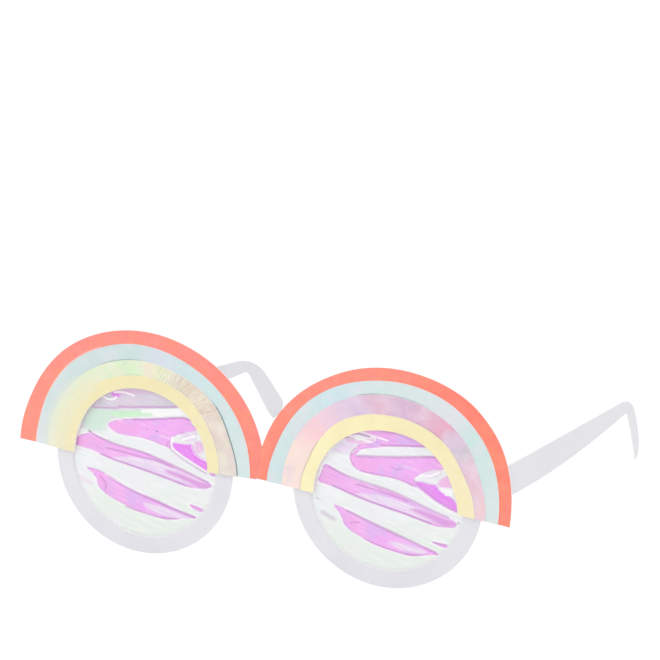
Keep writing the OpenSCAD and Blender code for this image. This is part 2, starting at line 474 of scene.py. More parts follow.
def thicken(piece: Piece, thickness: float, wall_slot: int) -> None:
    """Gives a sheet its thickness to both sides.

    Args:
        piece: the sheet.
        thickness: the thickness in millimetres.
        wall_slot: the material slot of its cut edges, counted from that of its faces.
    """
    solid = piece.modifiers.new("thickness", "SOLIDIFY")
    solid.thickness = thickness * MM
    solid.offset = 0
    solid.material_offset_rim = wall_slot


def round_edges(piece: Piece, width: float) -> None:
    """Rounds the cut edges of a piece.

    Args:
        piece: the piece.
        width: how wide the rounding is, in millimetres.
    """
    rounding = piece.modifiers.new("cut_edges", "BEVEL")
    rounding.width = width * MM
    rounding.segments = 2
    rounding.limit_method = "ANGLE"
    rounding.angle_limit = math.radians(50)


def dress_node(node: str, material: Material, rounding: float = 0.0) -> None:
    """Gives a CAD node its material and softened cut edges.

    Args:
        node: the node's name.
        material: what covers it.
        rounding: how wide its cut edges are rounded, in millimetres; 0 leaves them.
    """
    piece = frame["nodes"][node]
    piece.data.materials.clear()
    piece.data.materials.append(material)
    if rounding:
        weld = piece.modifiers.new("joined_faces", "WELD")
        weld.merge_threshold = 1e-6
        round_edges(piece, rounding)
    LOG.info("%s: dressed in %s", node, material.name)


class Finish(ABC):
    """The finish of a surface."""

    @abstractmethod
    def inputs(self, graph: Graph, where: Wire) -> dict:
        """Works out what goes into the shader.

        Args:
            graph: the material's nodes.
            where: coordinates in millimetres, in the frame of the pattern.

        Returns:
            Values or wires by the name of the shader's socket.
        """

    def build(self, name: str, place: Matrix = MODEL_FRAME) -> Material:
        """Makes the material.

        Args:
            name: its name.
            place: the frame that its pattern lies in.

        Returns:
            The material.
        """
        graph = Graph(bpy.data.materials.new(name))
        return graph.finish(self.inputs(graph, graph.local(place)))


@dataclass(frozen=True)
class CoreFinish(Finish):
    """The cut edge of paper: its pale pulp core."""

    fleck: Tone = Tone(226, 225, 228)

    def inputs(self, graph: Graph, where: Wire) -> dict:
        """Flecks the pulp.

        Args:
            graph: the material's nodes.
            where: coordinates in millimetres.

        Returns:
            The shader's inputs.
        """
        fibre = graph.noise(where, 5.0, 3.0)
        colour = graph.mix(PULP, self.fleck, fibre.step(0.45, 0.8) * 0.5)
        return {"Base Color": colour, "Roughness": 0.9, "Normal": graph.bump(fibre, 0.004)}


@dataclass(frozen=True)
class Shade:
    """A band painted along the edge of the ply in front: a thin dark one is a painted shadow line, a
    thin pale one a painted highlight, and a broad one a blend of the colours on both sides of a soft
    border.

    The angles are in degrees from the right foot, and the band lies from inner to outer
    millimetres past that edge.
    """

    start: float
    end: float
    inner: float
    outer: float
    tone: Tone
    strength: float
    soft: float = 4.0


@dataclass(frozen=True)
class BandFinish(Finish):
    """Coloured paper with a fine tooth.

    Its tones are given by the angle from the right foot, and the borders between them wander
    by some degrees.
    """

    tones: tuple[tuple[float, Tone], ...]
    blush: Tone
    shades: tuple[Shade, ...] = ()
    # Darker clouds at random on paper; on the foil, the painted sheen's darker bands
    dull: Tone = Tone(150, 140, 140)
    roughness: float = 0.7
    clouding: float = 0.12
    wander: float = 6.0

    @staticmethod
    def _arc(graph: Graph, where: Wire) -> tuple[Wire, Wire]:
        """Reads a place on the arch.

        Args:
            graph: the material's nodes.
            where: coordinates from the middle of the arch.

        Returns:
            The angle from the right foot in degrees, past 180 below the left one, and the
            radius in millimetres.
        """
        across, _, up = graph.parts(where)
        angle = up.angle_from(across)
        return angle + angle.step(-89.0, -91.0) * 360, up.length_with(across)

    def _drift(self, graph: Graph, where: Wire, angle: Wire) -> Wire:
        """Blends the tones round the arch.

        Args:
            graph: the material's nodes.
            where: coordinates from the middle of the arch.
            angle: the angle from the right foot.

        Returns:
            The tone at that angle.
        """
        moved = angle + (graph.noise(where, 0.09) - 0.5) * self.wander
        stops = [(degrees / 180, tone) for degrees, tone in self.tones]
        return graph.node("ShaderNodeValToRGB", {"stops": stops}, {0: moved / 180})

    def _shaded(self, graph: Graph, colour: Wire, angle: Wire) -> Wire:
        """Paints the bands of painted shadow, painted highlight and blended colour over a colour.

        Args:
            graph: the material's nodes.
            colour: the colour.
            angle: the angle from the right foot.

        Returns:
            The colour that shows.
        """
        past = graph.attribute(PAST_FRONT)
        for shade in self.shades:
            width = (shade.outer - shade.inner) * 0.3
            band = past.window(shade.inner + width, shade.outer - width, width)
            mask = band * angle.window(shade.start, shade.end, shade.soft)
            colour = graph.mix(colour, shade.tone, mask * shade.strength)
        return colour

    def inputs(self, graph: Graph, where: Wire) -> dict:
        """Clouds the tones and gives the paper its tooth.

        Args:
            graph: the material's nodes.
            where: coordinates from the middle of the arch.

        Returns:
            The shader's inputs.
        """
        angle, _ = self._arc(graph, where)
        cloud = graph.noise(where, 0.35, 4.0)
        patch = graph.noise(where, 0.14, 2.0)
        colour = graph.coated(
            self._drift(graph, where, angle),
            (self.blush, patch.step(0.48, 0.66) * 0.5),
            (WHITE, cloud.step(0.4, 0.75) * 0.35 * self.clouding),
            (self.dull, cloud.step(0.55, 0.25) * 0.3 * self.clouding),
        )
        tooth = graph.noise(where, 6.0, 4.0) + graph.noise(where, 1.3, 2.0) * 0.7
        return {
            "Base Color": self._shaded(graph, colour, angle),
            "Roughness": cloud * 0.15 + (self.roughness - 0.07),
            "Normal": graph.bump(tooth, 0.03, 0.6),
        }


@dataclass(frozen=True)
class FoilFinish(BandFinish):
    """Pearly foil paper with fine radial creases, deeper between the angles that are given, with a
    painted sheen and painted shade and highlights along the creases.
    """

    creased: tuple[Point, ...] = ()
    # Painted sheen: its lighter and darker tones
    gleam: Tone = Tone(255, 252, 250)
    dull: Tone = Tone(206, 196, 206)
    # Painted shade and highlight along the creases
    crease_dark: Tone = Tone(204, 186, 176)
    crease_light: Tone = Tone(255, 246, 240)
    roughness: float = 0.35
    wander: float = 9.0

    def inputs(self, graph: Graph, where: Wire) -> dict:
        """Lays a painted sheen of lighter and darker bands over the tones, and paints shade and
        highlights along the creases, which it also bumps.

        Args:
            graph: the material's nodes.
            where: coordinates from the middle of the arch.

        Returns:
            The shader's inputs.
        """
        angle, radius = self._arc(graph, where)
        sheen = graph.noise(graph.joined(angle * 0.11 + radius * 0.05, radius * 0.2, 0.0), 1.0, 3.0)
        fine = graph.noise(graph.joined(angle * 1.3 + radius * 0.6, radius * 0.3, 4.0), 1.0, 3.0)
        patch = graph.noise(where, 0.13, 3.0)
        colour = graph.coated(
            self._drift(graph, where, angle),
            (self.blush, patch.step(0.48, 0.64) * 0.55),
            # Painted sheen in bands round the arch
            (self.gleam, sheen.step(0.5, 0.75) * 0.2),
            (self.dull, sheen.step(0.46, 0.25) * 0.2),
        )
        creases = fine * 0.08
        for start, end in self.creased:
            mask = angle.window(start, end, 5.0)
            # Painted shade and highlights along the creases
            colour = graph.coated(
                colour,
                (self.crease_dark, fine.step(0.5, 0.36) * mask * 0.5),
                (self.crease_light, fine.step(0.56, 0.7) * mask * 0.5),
            )
            creases = creases + fine * mask * 0.7
        return {
            "Base Color": self._shaded(graph, colour, angle),
            "Roughness": sheen * 0.2 + (self.roughness - 0.1),
            "Coat Weight": 0.25,
            "Coat Roughness": 0.2,
            "Normal": graph.bump(sheen * 0.4 + creases, 0.12, 0.4),
        }


@dataclass(frozen=True)
class Lift:
    """Where the outer edge of a ply stands off the ply behind it, by angles from its right foot."""

    start: float
    end: float
    height: float

    def at(self, angle: float) -> float:
        """The height at an angle, in millimetres, eased away round both ends."""
        middle, half = (self.start + self.end) / 2, (self.end - self.start) / 2
        return self.height * eased(((0.55, 1), (1.15, 0)), abs(angle - middle) / half)


@dataclass(frozen=True)
class CutEdge:
    """An edge cut by hand, as radii in millimetres by angle from the right foot.

    The corners between the marks are smoothed over this many degrees to each side.
    """

    marks: tuple[Point, ...]
    smoothing: float = 5.0

    def at(self, angle: float) -> float:
        """Reads the edge, which is held below the feet.

        Args:
            angle: the angle from the right foot in degrees.

        Returns:
            The radius there.
        """
        places, radii = zip(*self.marks)
        held = max(0.0, min(180.0, angle))
        reach = self.smoothing
        before, here, after = np.interp((held - reach, held, held + reach), places, radii)
        return float(before + 2 * here + after) / 4


@dataclass(frozen=True)
class Ply:
    """One arched ply.

    Each of its feet, the right and the left, is cut along a line that is given by its height
    at the lens opening and at the rim of the arches. From the radius free_from, past the ply
    in front, its edge can lift.
    """

    kind: str
    slot: str
    outer: CutEdge
    feet: tuple[Point, Point]
    finish: BandFinish
    lifts: tuple[Lift, ...] = ()
    free_from: float = 0.0

    def raised(self, angle: float, radius: float) -> float:
        """How far the sheet stands off, rising towards its edge.

        Args:
            angle: the angle from the right foot in degrees.
            radius: the distance from the middle of the arch in millimetres.

        Returns:
            The distance in millimetres.
        """
        run = self.outer.at(angle) - self.free_from
        rise = eased(((0, 0), (1, 1)), (radius - self.free_from) / run)
        return rise * sum(lift.at(angle) for lift in self.lifts)


@dataclass(frozen=True)
class Rainbow:
    """Four plies glued on over one lens, from the coral at the back to the yellow in front.

    Each sheet is spun in steps from a line of so many rows, and reaches some spare degrees
    past its feet before they are cut. The heights of a cut are given at the radius of the
    opening and at that of the rim. Where the neighbour overlaps, the edge is found by halvings.
    """

    side: Side
    middle: Point
    roll: float
    opening: CutEdge
    plies: tuple[Ply, ...]
    neighbour: "Rainbow | None" = None
    seam_gap: float = 0.05
    ply_thickness: float = 0.3
    opening_radius: float = 20.7
    rim_radius: float = 38.1
    rounding: float = 0.04
    spare: float = 4.0
    rows: int = 10
    steps: int = 288
    halvings: int = 14

    def _covers(self, x: float, z: float) -> bool:
        """Whether the rearmost ply, or the seam gap beyond it, reaches over a flat point.

        Args:
            x: the point's distance to the right of the middle of the front.
            z: its height above it.

        Returns:
            True where it does.
        """
        across, up = x - self.middle[0], z - self.middle[1]
        angle = math.degrees(math.atan2(up, across)) - self.roll
        return math.hypot(across, up) < self.plies[0].outer.at(angle) + self.seam_gap

    def _is_free(self, angle: float, radius: float) -> bool:
        """Whether the neighbouring rainbow leaves a point of this one free.

        Args:
            angle: the point's angle from the right foot in degrees.
            radius: its distance from the middle of the arch.

        Returns:
            True where it does.
        """
        turn = math.radians(angle + self.roll)
        x = self.middle[0] + radius * math.cos(turn)
        z = self.middle[1] + radius * math.sin(turn)
        return self.neighbour is None or not self.neighbour._covers(x, z)

    def _trimmed(self, angle: float, inner: float, outer: float) -> float:
        """Cuts a radius back to where the neighbouring rainbow starts.

        Args:
            angle: the angle from the right foot in degrees.
            inner: the radius of the opening.
            outer: the radius of the ply's own edge.

        Returns:
            The radius of the edge after the cut.
        """
        if self._is_free(angle, outer):
            return outer
        free, covered = inner, outer
        for _ in range(self.halvings):
            middle = (free + covered) / 2
            if self._is_free(angle, middle):
                free = middle
            else:
                covered = middle
        return free

    def _cut_foot(self, sheet: Mesh, sign: int, foot: Point) -> None:
        """Cuts one foot of a sheet.

        Args:
            sheet: the sheet.
            sign: 1 for the right foot and -1 for the left.
            foot: the heights of the cut at the lens opening and at the rim.
        """
        near = [vert for vert in sheet.verts if vert.co.x * sign > 0]
        edges = {edge for vert in near for edge in vert.link_edges}
        faces = {face for vert in near for face in vert.link_faces}
        run, rise = self.rim_radius - self.opening_radius, foot[1] - foot[0]
        bmesh.ops.bisect_plane(
            sheet, geom=[*near, *edges, *faces], plane_co=(sign * self.opening_radius, 0, foot[0]),
            plane_no=(-sign * rise, 0, run), clear_inner=True,
        )

    def _sheet(self, level: int, place: Matrix) -> Mesh:
        """A ply's sheet at half its thickness, cut at the feet and lifted at its edges.

        Args:
            level: which ply, counted from the rearmost.
            place: the frame of the arches.

        Returns:
            The mesh, in the frame, with how far each point lies past the edge of the ply in front.
        """
        ply = self.plies[level]
        front = self.plies[min(level + 1, len(self.plies) - 1)]
        sheet = bmesh.new()
        past = sheet.verts.layers.float.new(PAST_FRONT)
        line = [sheet.verts.new((1 + row / self.rows, 0, 0)) for row in range(self.rows + 1)]
        edges = [sheet.edges.new(pair) for pair in zip(line, line[1:])]
        spare = math.radians(self.spare)
        bmesh.ops.rotate(sheet, verts=line, cent=(0, 0, 0), matrix=Matrix.Rotation(spare, 3, "Y"))
        bmesh.ops.spin(
            sheet, geom=line + edges, cent=(0, 0, 0), axis=(0, 1, 0), angle=-math.pi - 2 * spare,
            steps=self.steps, use_merge=False,
        )
        for vert in sheet.verts:
            angle = math.degrees(math.atan2(vert.co.z, vert.co.x))
            angle += 360 if angle < -90 else 0
            share = math.hypot(vert.co.x, vert.co.z) - 1
            inner = self.opening.at(angle)
            outer = self._trimmed(angle, inner, ply.outer.at(angle))
            radius = inner + share * (outer - inner)
            depth = -(level + 0.5) * self.ply_thickness - ply.raised(angle, radius)
            turn = math.radians(angle)
            vert.co = (radius * math.cos(turn), depth, radius * math.sin(turn))
            vert[past] = radius - front.outer.at(angle)
        for foot, sign in zip(ply.feet, (1, -1)):
            self._cut_foot(sheet, sign, foot)
        bmesh.ops.recalc_face_normals(sheet, faces=sheet.faces)
        bmesh.ops.scale(sheet, verts=sheet.verts, vec=(MM, MM, MM))
        bmesh.ops.transform(sheet, verts=sheet.verts, matrix=place)
        return sheet

    def build(self, plane: FrontPlane, core: Material) -> None:
        """Makes the four plies.

        Args:
            plane: the plane of the front.
            core: the material of the cut edges.
        """
        place = plane.around(*self.middle, self.roll)
        side = self.side.word
        for level, ply in enumerate(self.plies):
            materials = [ply.finish.build(f"{ply.kind}_paper_{side}", place), core]
            sheet = self._sheet(level, place)
            node = f"{ply.kind}_arch_{side}"
            piece = add_piece(f"{ply.kind}_ply_{side}", sheet, materials, node)
            thicken(piece, self.ply_thickness, 1)
            round_edges(piece, self.rounding)


class Tint(Enum):
    """The kinds of patch on a film, from the broadest to those on top of the others. The orchid, lilac,
    rose, magenta, plum and curl ones are painted reflection of the colours that the film diffracts, the
    mauve ones are painted shade lines along the streaks, and the glints are painted highlights.
    """

    MINT = "mint"
    GREEN = "green"
    SMOKE = "smoke"
    ORCHID = "orchid"
    LILAC = "lilac"
    ROSE = "rose"
    MAGENTA = "magenta"
    PLUM = "plum"
    MAUVE_SHADE = "mauve_shade"
    CURL = "curl"
    INK = "ink"
    GLINT = "glint"


@dataclass(frozen=True)
class Fade:
    """How the edge of a patch fades, from so far outside its outline to so far inside it.

    Both are in millimetres. A ragged edge follows the film's noise by this share.
    """

    outside: float
    inside: float
    ragged: float = 0.0


FADES = {
    Tint.MINT: Fade(1.4, 1.2),
    Tint.GREEN: Fade(0.6, 0.7),
    Tint.SMOKE: Fade(0.6, 0.5),
    Tint.ORCHID: Fade(0.1, 0.14, 1.0),
    Tint.LILAC: Fade(0.5, 0.6),
    Tint.ROSE: Fade(0.9, 0.9),
    Tint.MAGENTA: Fade(0.25, 0.5, 1.0),
    Tint.PLUM: Fade(0.5, 0.6, 1.0),
    Tint.MAUVE_SHADE: Fade(0.22, 0.2, 0.6),
    Tint.CURL: Fade(0.4, 0.6),
    Tint.INK: Fade(0.12, 0.12),
    Tint.GLINT: Fade(0.16, 0.14),
}
# The kinds of patch, beside the mint, where the film looks less clear
DENSE = (
    Tint.GREEN, Tint.SMOKE, Tint.ORCHID, Tint.LILAC, Tint.MAGENTA, Tint.MAUVE_SHADE, Tint.CURL, Tint.INK,
)


@dataclass(frozen=True)
class Patch:
    """A patch of colour on the film, outlined in millimetres from the middle of the lens."""

    points: tuple[Point, ...]

    def depth_inside(self, places: np.ndarray) -> np.ndarray:
        """How far inside the outline each place lies, negative outside it."""
        curve = curved(self.points, True)
        return np.where(is_within(curve, places), 1, -1) * distance_to(curve, places)


@dataclass(frozen=True)
class Stroke:
    """A thin line on the film, along points in millimetres from the middle of the lens."""

    points: tuple[Point, ...]
    width: float

    def depth_inside(self, places: np.ndarray) -> np.ndarray:
        """How far inside the line each place lies, negative outside it."""
        return self.width / 2 - distance_to(curved(self.points, False), places)


@dataclass(frozen=True)
class Grain:
    """The noise that the colours of a film follow.

    The flow and the finer threads run along the wrinkles, and the clouds lie anyhow.
    """

    flow: Wire
    threads: Wire
    cloud: Wire

    @classmethod
    def of(cls, graph: Graph, where: Wire) -> "Grain":
        """Makes the noise.

        Args:
            graph: the material's nodes.
            where: coordinates from the middle of the lens.

        Returns:
            The three kinds of noise.
        """
        inputs = {"Vector": where, "Rotation": (0.0, -math.radians(WRINKLE_FALL), 0.0)}
        turned = graph.node("ShaderNodeMapping", {"vector_type": "POINT"}, inputs)
        flow = graph.noise(graph.stretched(turned, (0.10, 0.0, 0.9)), 1.0, 3.0)
        threads = graph.noise(graph.stretched(turned, (0.16, 0.0, 2.2)), 1.0, 4.0)
        return cls(flow, threads, graph.noise(where, 0.16, 3.0))


@dataclass(frozen=True)
class FilmFinish(Finish):
    """Clear diffraction film with orchid and magenta streaks where it is wrinkled: painted reflection of
    the colours that it diffracts, laid into its colour with painted highlights and painted shade lines.

    Past the glued radii, which are where the glue starts and where it is full, it turns pale.
    """

    opacity: float = 0.5
    glued: Point = (21.8, 22.8)

    @staticmethod
    def _depths(graph: Graph, where: Wire) -> dict[Tint, Wire]:
        """Reads how far a place lies inside each kind of patch.

        Args:
            graph: the material's nodes.
            where: coordinates from the middle of the lens.

        Returns:
            The depths in millimetres, with ragged edges where a kind has them.
        """
        edge = (graph.noise(where, 2.2, 2.0) - 0.5) * 0.25
        depths = {tint: graph.attribute(tint.value) for tint in Tint}
        for tint, fade in FADES.items():
            if fade.ragged:
                depths[tint] = depths[tint] + edge * fade.ragged
        return depths

    @staticmethod
    def _pale(graph: Graph, grain: Grain, up: Wire) -> Wire:
        """The colour of the film where nothing marks it.

        Args:
            graph: the material's nodes.
            grain: the noise that it follows.
            up: millimetres above the middle of the lens.

        Returns:
            The colour, a little greener towards the bottom, with painted highlights along the wrinkles.
        """
        return graph.coated(
            Tone(235, 239, 240),
            (Tone(229, 239, 229), up.step(-4.0, -16.0)),
            # Painted highlights along the wrinkles
            (Tone(252, 253, 253), grain.flow.step(0.45, 0.7) * 0.4),
            (Tone(242, 232, 246), grain.cloud.step(0.5, 0.7) * 0.4),
            (Tone(222, 240, 226), grain.cloud.step(0.47, 0.3) * 0.3),
        )

    @staticmethod
    def _orchid(graph: Graph, grain: Grain, across: Wire, streak: Wire) -> Wire:
        """The colour of the broad streaks.

        Args:
            graph: the material's nodes.
            grain: the noise that it follows.
            across: millimetres to the right of the middle of the lens.
            streak: the depth inside a streak.

        Returns:
            The colour, pinker towards the left, with painted highlights along the wrinkles and painted
            shade along some of its edges.
        """
        rim = streak.window(-0.05, 0.22, 0.15)
        return graph.coated(
            Tone(249, 181, 249),
            (Tone(228, 187, 247), grain.cloud.step(0.45, 0.62) * 0.85),
            (Tone(252, 184, 242), (across + grain.flow * 10).window(-14, -2, 4) * 0.5),
            # Painted highlights along the wrinkles
            (Tone(252, 226, 253), grain.flow.step(0.56, 0.72) * 0.5),
            (Tone(253, 216, 252), grain.threads.step(0.54, 0.7) * 0.55),
            (Tone(214, 140, 224), grain.threads.step(0.46, 0.3) * 0.35),
            # Painted shade along the streak's edges
            (Tone(206, 142, 212), rim * grain.flow.step(0.66, 0.4) * 0.6),
        )

    def inputs(self, graph: Graph, where: Wire) -> dict:
        """Lays the patches over the pale film, in the order of their kinds.

        Args:
            graph: the material's nodes.
            where: coordinates from the middle of the lens.

        Returns:
            The shader's inputs.
        """
        across, _, up = graph.parts(where)
        grain = Grain.of(graph, where)
        cloud, flow, threads = grain.cloud, grain.flow, grain.threads
        depths = self._depths(graph, where)
        masks = {tint: depths[tint].step(-fade.outside, fade.inside) for tint, fade in FADES.items()}
        glued = across.length_with(up).step(*self.glued)
        haze = graph.coated(
            Tone(227, 213, 229),
            (Tone(214, 214, 224), cloud.step(0.4, 0.62)),
            (Tone(242, 232, 244), threads.step(0.52, 0.68) * 0.5),
        )
        # Painted highlight: a pale fringe just outside the streaks' edges
        edge_highlight = depths[Tint.ORCHID].step(-0.9, -0.1) * flow.step(0.35, 0.6)
        orchid = self._orchid(graph, grain, across, depths[Tint.ORCHID])
        silk = graph.mix(Tone(236, 215, 246), Tone(248, 238, 250), threads.step(0.32, 0.66))
        magenta = graph.mix(Tone(241, 124, 250), Tone(236, 157, 246), threads.step(0.4, 0.68))
        colour = graph.coated(
            self._pale(graph, grain, up),
            (Tone(215, 238, 224), masks[Tint.MINT] * 0.95),
            (Tone(208, 248, 208), masks[Tint.GREEN] * 0.95),
            (haze, masks[Tint.SMOKE]),
            (Tone(255, 252, 255), edge_highlight * 0.9),
            (orchid, masks[Tint.ORCHID]),
            (silk, masks[Tint.LILAC] * 0.92),
            (Tone(251, 176, 236), masks[Tint.ROSE] * threads.step(0.3, 0.5) * 0.6),
            (magenta, masks[Tint.MAGENTA] * 0.94),
            (Tone(226, 156, 227), masks[Tint.PLUM] * 0.9),
            # Painted shade lines along the streaks' edges
            (Tone(204, 144, 208), masks[Tint.MAUVE_SHADE] * 0.75),
            (Tone(249, 196, 240), masks[Tint.CURL] * 0.9),
            (Tone(136, 112, 148), masks[Tint.INK] * 0.85),
            (WHITE, masks[Tint.GLINT] * 0.95),
            (Tone(242, 242, 246), glued),
        )
        dense = depths[Tint.MINT].step(-1.2, 1.0) + glued
        for tint in DENSE:
            dense = dense + masks[tint]
        height = flow * 0.6 + graph.noise(where, 1.1, 3.0) * 0.2
        return {
            "Base Color": colour,
            "Roughness": cloud * 0.12 + 0.12,
            "IOR": 1.5,
            "Coat Weight": 0.3,
            "Coat Roughness": 0.06,
            "Alpha": dense.step(0.0, 1.0) * 0.42 + masks[Tint.GLINT] * 0.1 + self.opacity,
            "Normal": graph.bump(height, 0.3, 0.4),
        }


@dataclass(frozen=True)
class FilmLens:
    """A disc of film between the cards, wrinkled where the opening leaves it free.

    It is flat from the free radius outwards, and its wrinkles grow over the fade inside that.
    The sizes of the ripples and creases are their lengths along and across the wrinkles, and
    the rises are how far each of them lifts the film. A streak lifts it over its shoulder.
    The depths inside the marks count up to the mark reach. All of it is in millimetres.
    """

    side: Side
    marks: dict[Tint, tuple[Patch | Stroke, ...]]
    radius: float = 25.3
    free_radius: float = 20.4
    fade: float = 4.0
    thickness: float = 0.14
    cell: float = 0.3
    mark_reach: float = 3.0
    ridge_shoulder: float = 1.5
    ripple_size: Point = (16, 3.2)
    crease_size: Point = (7, 1.3)
    ripple_rise: float = 0.3
    crease_rise: float = 0.08
    ridge_rise: float = 0.16
    sag: float = 0.06
    lowest: float = -0.45
    highest: float = 0.28
    seed: float = 7.3

    def _height(self, x: float, z: float, ridge: float) -> float:
        """How far a point of the film stands forward, in millimetres.

        Args:
            x: millimetres to the right of the lens's middle.
            z: millimetres above it.
            ridge: 0 on the pale film and 1 well inside a streak.

        Returns:
            The height, negative to the back.
        """
        free = eased(((0, 1), (1, 0)), (math.hypot(x, z) - self.free_radius + self.fade) / self.fade)
        turn = math.radians(WRINKLE_FALL)
        along = x * math.cos(turn) - z * math.sin(turn)
        across = x * math.sin(turn) + z * math.cos(turn)
        seed = self.seed * self.side.value
        long, wide = self.ripple_size
        ripple = self.ripple_rise * noise.noise(Vector((along / long, across / wide, seed)))
        long, wide = self.crease_size
        crease = self.crease_rise * noise.noise(Vector((along / long, across / wide, seed + 4)))
        height = ripple + crease + self.ridge_rise * ridge - self.sag
        return free * max(self.lowest, min(self.highest, height))

    def _disc(self) -> Mesh:
        """The flat disc of film, upright about its middle.

        Returns:
            The mesh, in millimetres.
        """
        sheet = bmesh.new()
        count = math.ceil(2 * self.radius / self.cell)
        bmesh.ops.create_grid(sheet, x_segments=count, y_segments=count, size=self.radius)
        upright = Matrix.Rotation(math.pi / 2, 3, "X")
        bmesh.ops.rotate(sheet, verts=sheet.verts, cent=(0, 0, 0), matrix=upright)
        beyond = [face for face in sheet.faces if face.calc_center_median().length > self.radius]
        bmesh.ops.delete(sheet, geom=beyond, context="FACES")
        for vert in sheet.verts:
            if vert.is_boundary:
                vert.co *= self.radius / vert.co.length
        sheet.verts.ensure_lookup_table()
        return sheet

    def _sheet(self, place: Matrix) -> Mesh:
        """The film at half its thickness, with the depth inside each kind of patch at its points.

        Args:
            place: the frame of the lens.

        Returns:
            The mesh, in the frame.
        """
        sheet = self._disc()
        places = np.array([(vert.co.x, vert.co.z) for vert in sheet.verts])
        ridge = np.zeros(len(places))
        outside = np.full(len(places), -self.mark_reach)
        for tint in Tint:
            layer = sheet.verts.layers.float.new(tint.value)
            depths = [mark.depth_inside(places) for mark in self.marks.get(tint, ())]
            inside = np.clip(np.max([outside, *depths], axis=0), None, self.mark_reach)
            if tint in (Tint.ORCHID, Tint.MAGENTA):
                ridge = np.maximum(ridge, np.clip(inside / self.ridge_shoulder, 0, 1))
            for vert, value in zip(sheet.verts, inside):
                vert[layer] = float(value)
        for vert, value in zip(sheet.verts, ridge):
            vert.co.y = FILM_DEPTH - self._height(vert.co.x, vert.co.z, float(value))
        bmesh.ops.recalc_face_normals(sheet, faces=sheet.faces)
        for face in sheet.faces:
            face.smooth = True
        bmesh.ops.scale(sheet, verts=sheet.verts, vec=(MM, MM, MM))
        bmesh.ops.transform(sheet, verts=sheet.verts, matrix=place)
        return sheet

    def build(self, plane: FrontPlane) -> None:
        """Makes the film.

        Args:
            plane: the plane of the front.
        """
        place = plane.around(self.side.value * LENS_X, 0)
        side = self.side.word
        film = FilmFinish().build(f"diffraction_film_{side}", place)
        sheet = self._sheet(place)
        piece = add_piece(f"wrinkled_film_{side}", sheet, [film], f"lens_film_{side}")
        thicken(piece, self.thickness, 0)


@dataclass(frozen=True)
class CardFinish(Finish):
    """Smooth white card with a pale pulp core at its cut edges.

    The printed faces look along the face normal or against it.
    """

    face_normal: Vector
    tone: Tone = Tone(229, 228, 233)
    shade: Tone = Tone(222, 221, 229)
    light: Tone = Tone(242, 241, 245)

    def inputs(self, graph: Graph, where: Wire) -> dict:
        """Tells the faces from the cut edges and gives the faces their tooth.

        Args:
            graph: the material's nodes.
            where: coordinates in millimetres.

        Returns:
            The shader's inputs.
        """
        normal = graph.node("ShaderNodeTexCoord", {}, {}, "Normal")
        sides = {0: normal, 1: self.face_normal}
        facing = abs(graph.node("ShaderNodeVectorMath", {"operation": "DOT_PRODUCT"}, sides, "Value"))
        flat = facing.step(0.6, 0.85)
        cloud = graph.noise(where, 0.07, 3.0)
        fibre = graph.noise(graph.stretched(where, (1.0, 1.0, 2.5)), 1.6, 4.0)
        face = graph.coated(
            self.tone,
            (self.shade, cloud.step(0.42, 0.7) * 0.5),
            (self.light, fibre.step(0.52, 0.75) * 0.3),
        )
        tooth = (graph.noise(where, 7.0, 4.0) + fibre * 0.6) * flat
        return {
            "Base Color": graph.mix(PULP, face, flat),
            "Roughness": fibre * 0.2 + 0.5,
            "Normal": graph.bump(tooth, 0.02, 0.5),
        }


@dataclass(frozen=True)
class GlueFinish(Finish):
    """Dried craft adhesive: clouded, a little yellow and slightly shiny."""

    tone: Tone = Tone(238, 236, 226)
    milky: Tone = Tone(250, 249, 244)

    def inputs(self, graph: Graph, where: Wire) -> dict:
        """Clouds the adhesive with fine bubbles.

        Args:
            graph: the material's nodes.
            where: coordinates in millimetres.

        Returns:
            The shader's inputs.
        """
        bubbles = graph.noise(where, 1.2, 3.0)
        return {
            "Base Color": graph.mix(self.tone, self.milky, bubbles.step(0.4, 0.7)),
            "Roughness": bubbles * 0.3 + 0.2,
            "Normal": graph.bump(bubbles, 0.05, 0.6),
        }


@dataclass(frozen=True)
class CardFront:
    """The two cards and the adhesive between them."""

    rounding: float = 0.05

    def build(self, plane: FrontPlane) -> None:
        """Dresses the cards and the adhesive.

        Args:
            plane: the plane of the front.
        """
        card = CardFinish(plane.leaned(Vector((0, 1, 0)))).build("front_card_stock")
        for node in ("front_card", "rear_card"):
            dress_node(node, card, self.rounding)
        dress_node("bond_sheet", GlueFinish().build("adhesive"))


@dataclass(frozen=True)
class Temple:
    """One creased card temple with its glue tab and the tape under the tab.

    The toe-in is how many degrees it stands turned inwards, or outwards where it is negative.
    """

    side: Side
    toe_in: float
    rounding: float = 0.05
    tone: Tone = Tone(228, 227, 231)
    shade: Tone = Tone(223, 222, 227)

    def build(self, plane: FrontPlane) -> None:
        """Dresses the temple, its tab and its tape.

        Args:
            plane: the plane of the front.
        """
        side = self.side.word
        turn = Matrix.Rotation(self.side.value * -math.radians(self.toe_in), 3, "Z")
        for node, card, normal in (
            ("temple", "temple_card", turn @ Vector((1, 0, 0))),
            ("glue_tab", "tab_card", Vector((0, 1, 0))),
        ):
            finish = CardFinish(plane.leaned(normal), self.tone, self.shade)
            dress_node(f"{node}_{side}", finish.build(f"{card}_{side}"), self.rounding)
        dress_node(f"tab_tape_{side}", GlueFinish().build(f"tape_{side}"))


@dataclass(frozen=True)
class Lamp:
    """A square soft light: its place and side in metres, and its power in watts."""

    name: str
    place: Triple
    size: float
    watts: float

    def build(self, aim: Vector) -> None:
        """Sets the light up.

        Args:
            aim: what it points at.
        """
        lamp = bpy.data.lights.new(self.name, "AREA")
        lamp.size = self.size
        lamp.energy = self.watts
        holder = bpy.data.objects.new(self.name, lamp)
        holder.location = self.place
        holder.rotation_euler = (aim - Vector(self.place)).to_track_quat("-Z", "Y").to_euler()
        bpy.context.scene.collection.objects.link(holder)


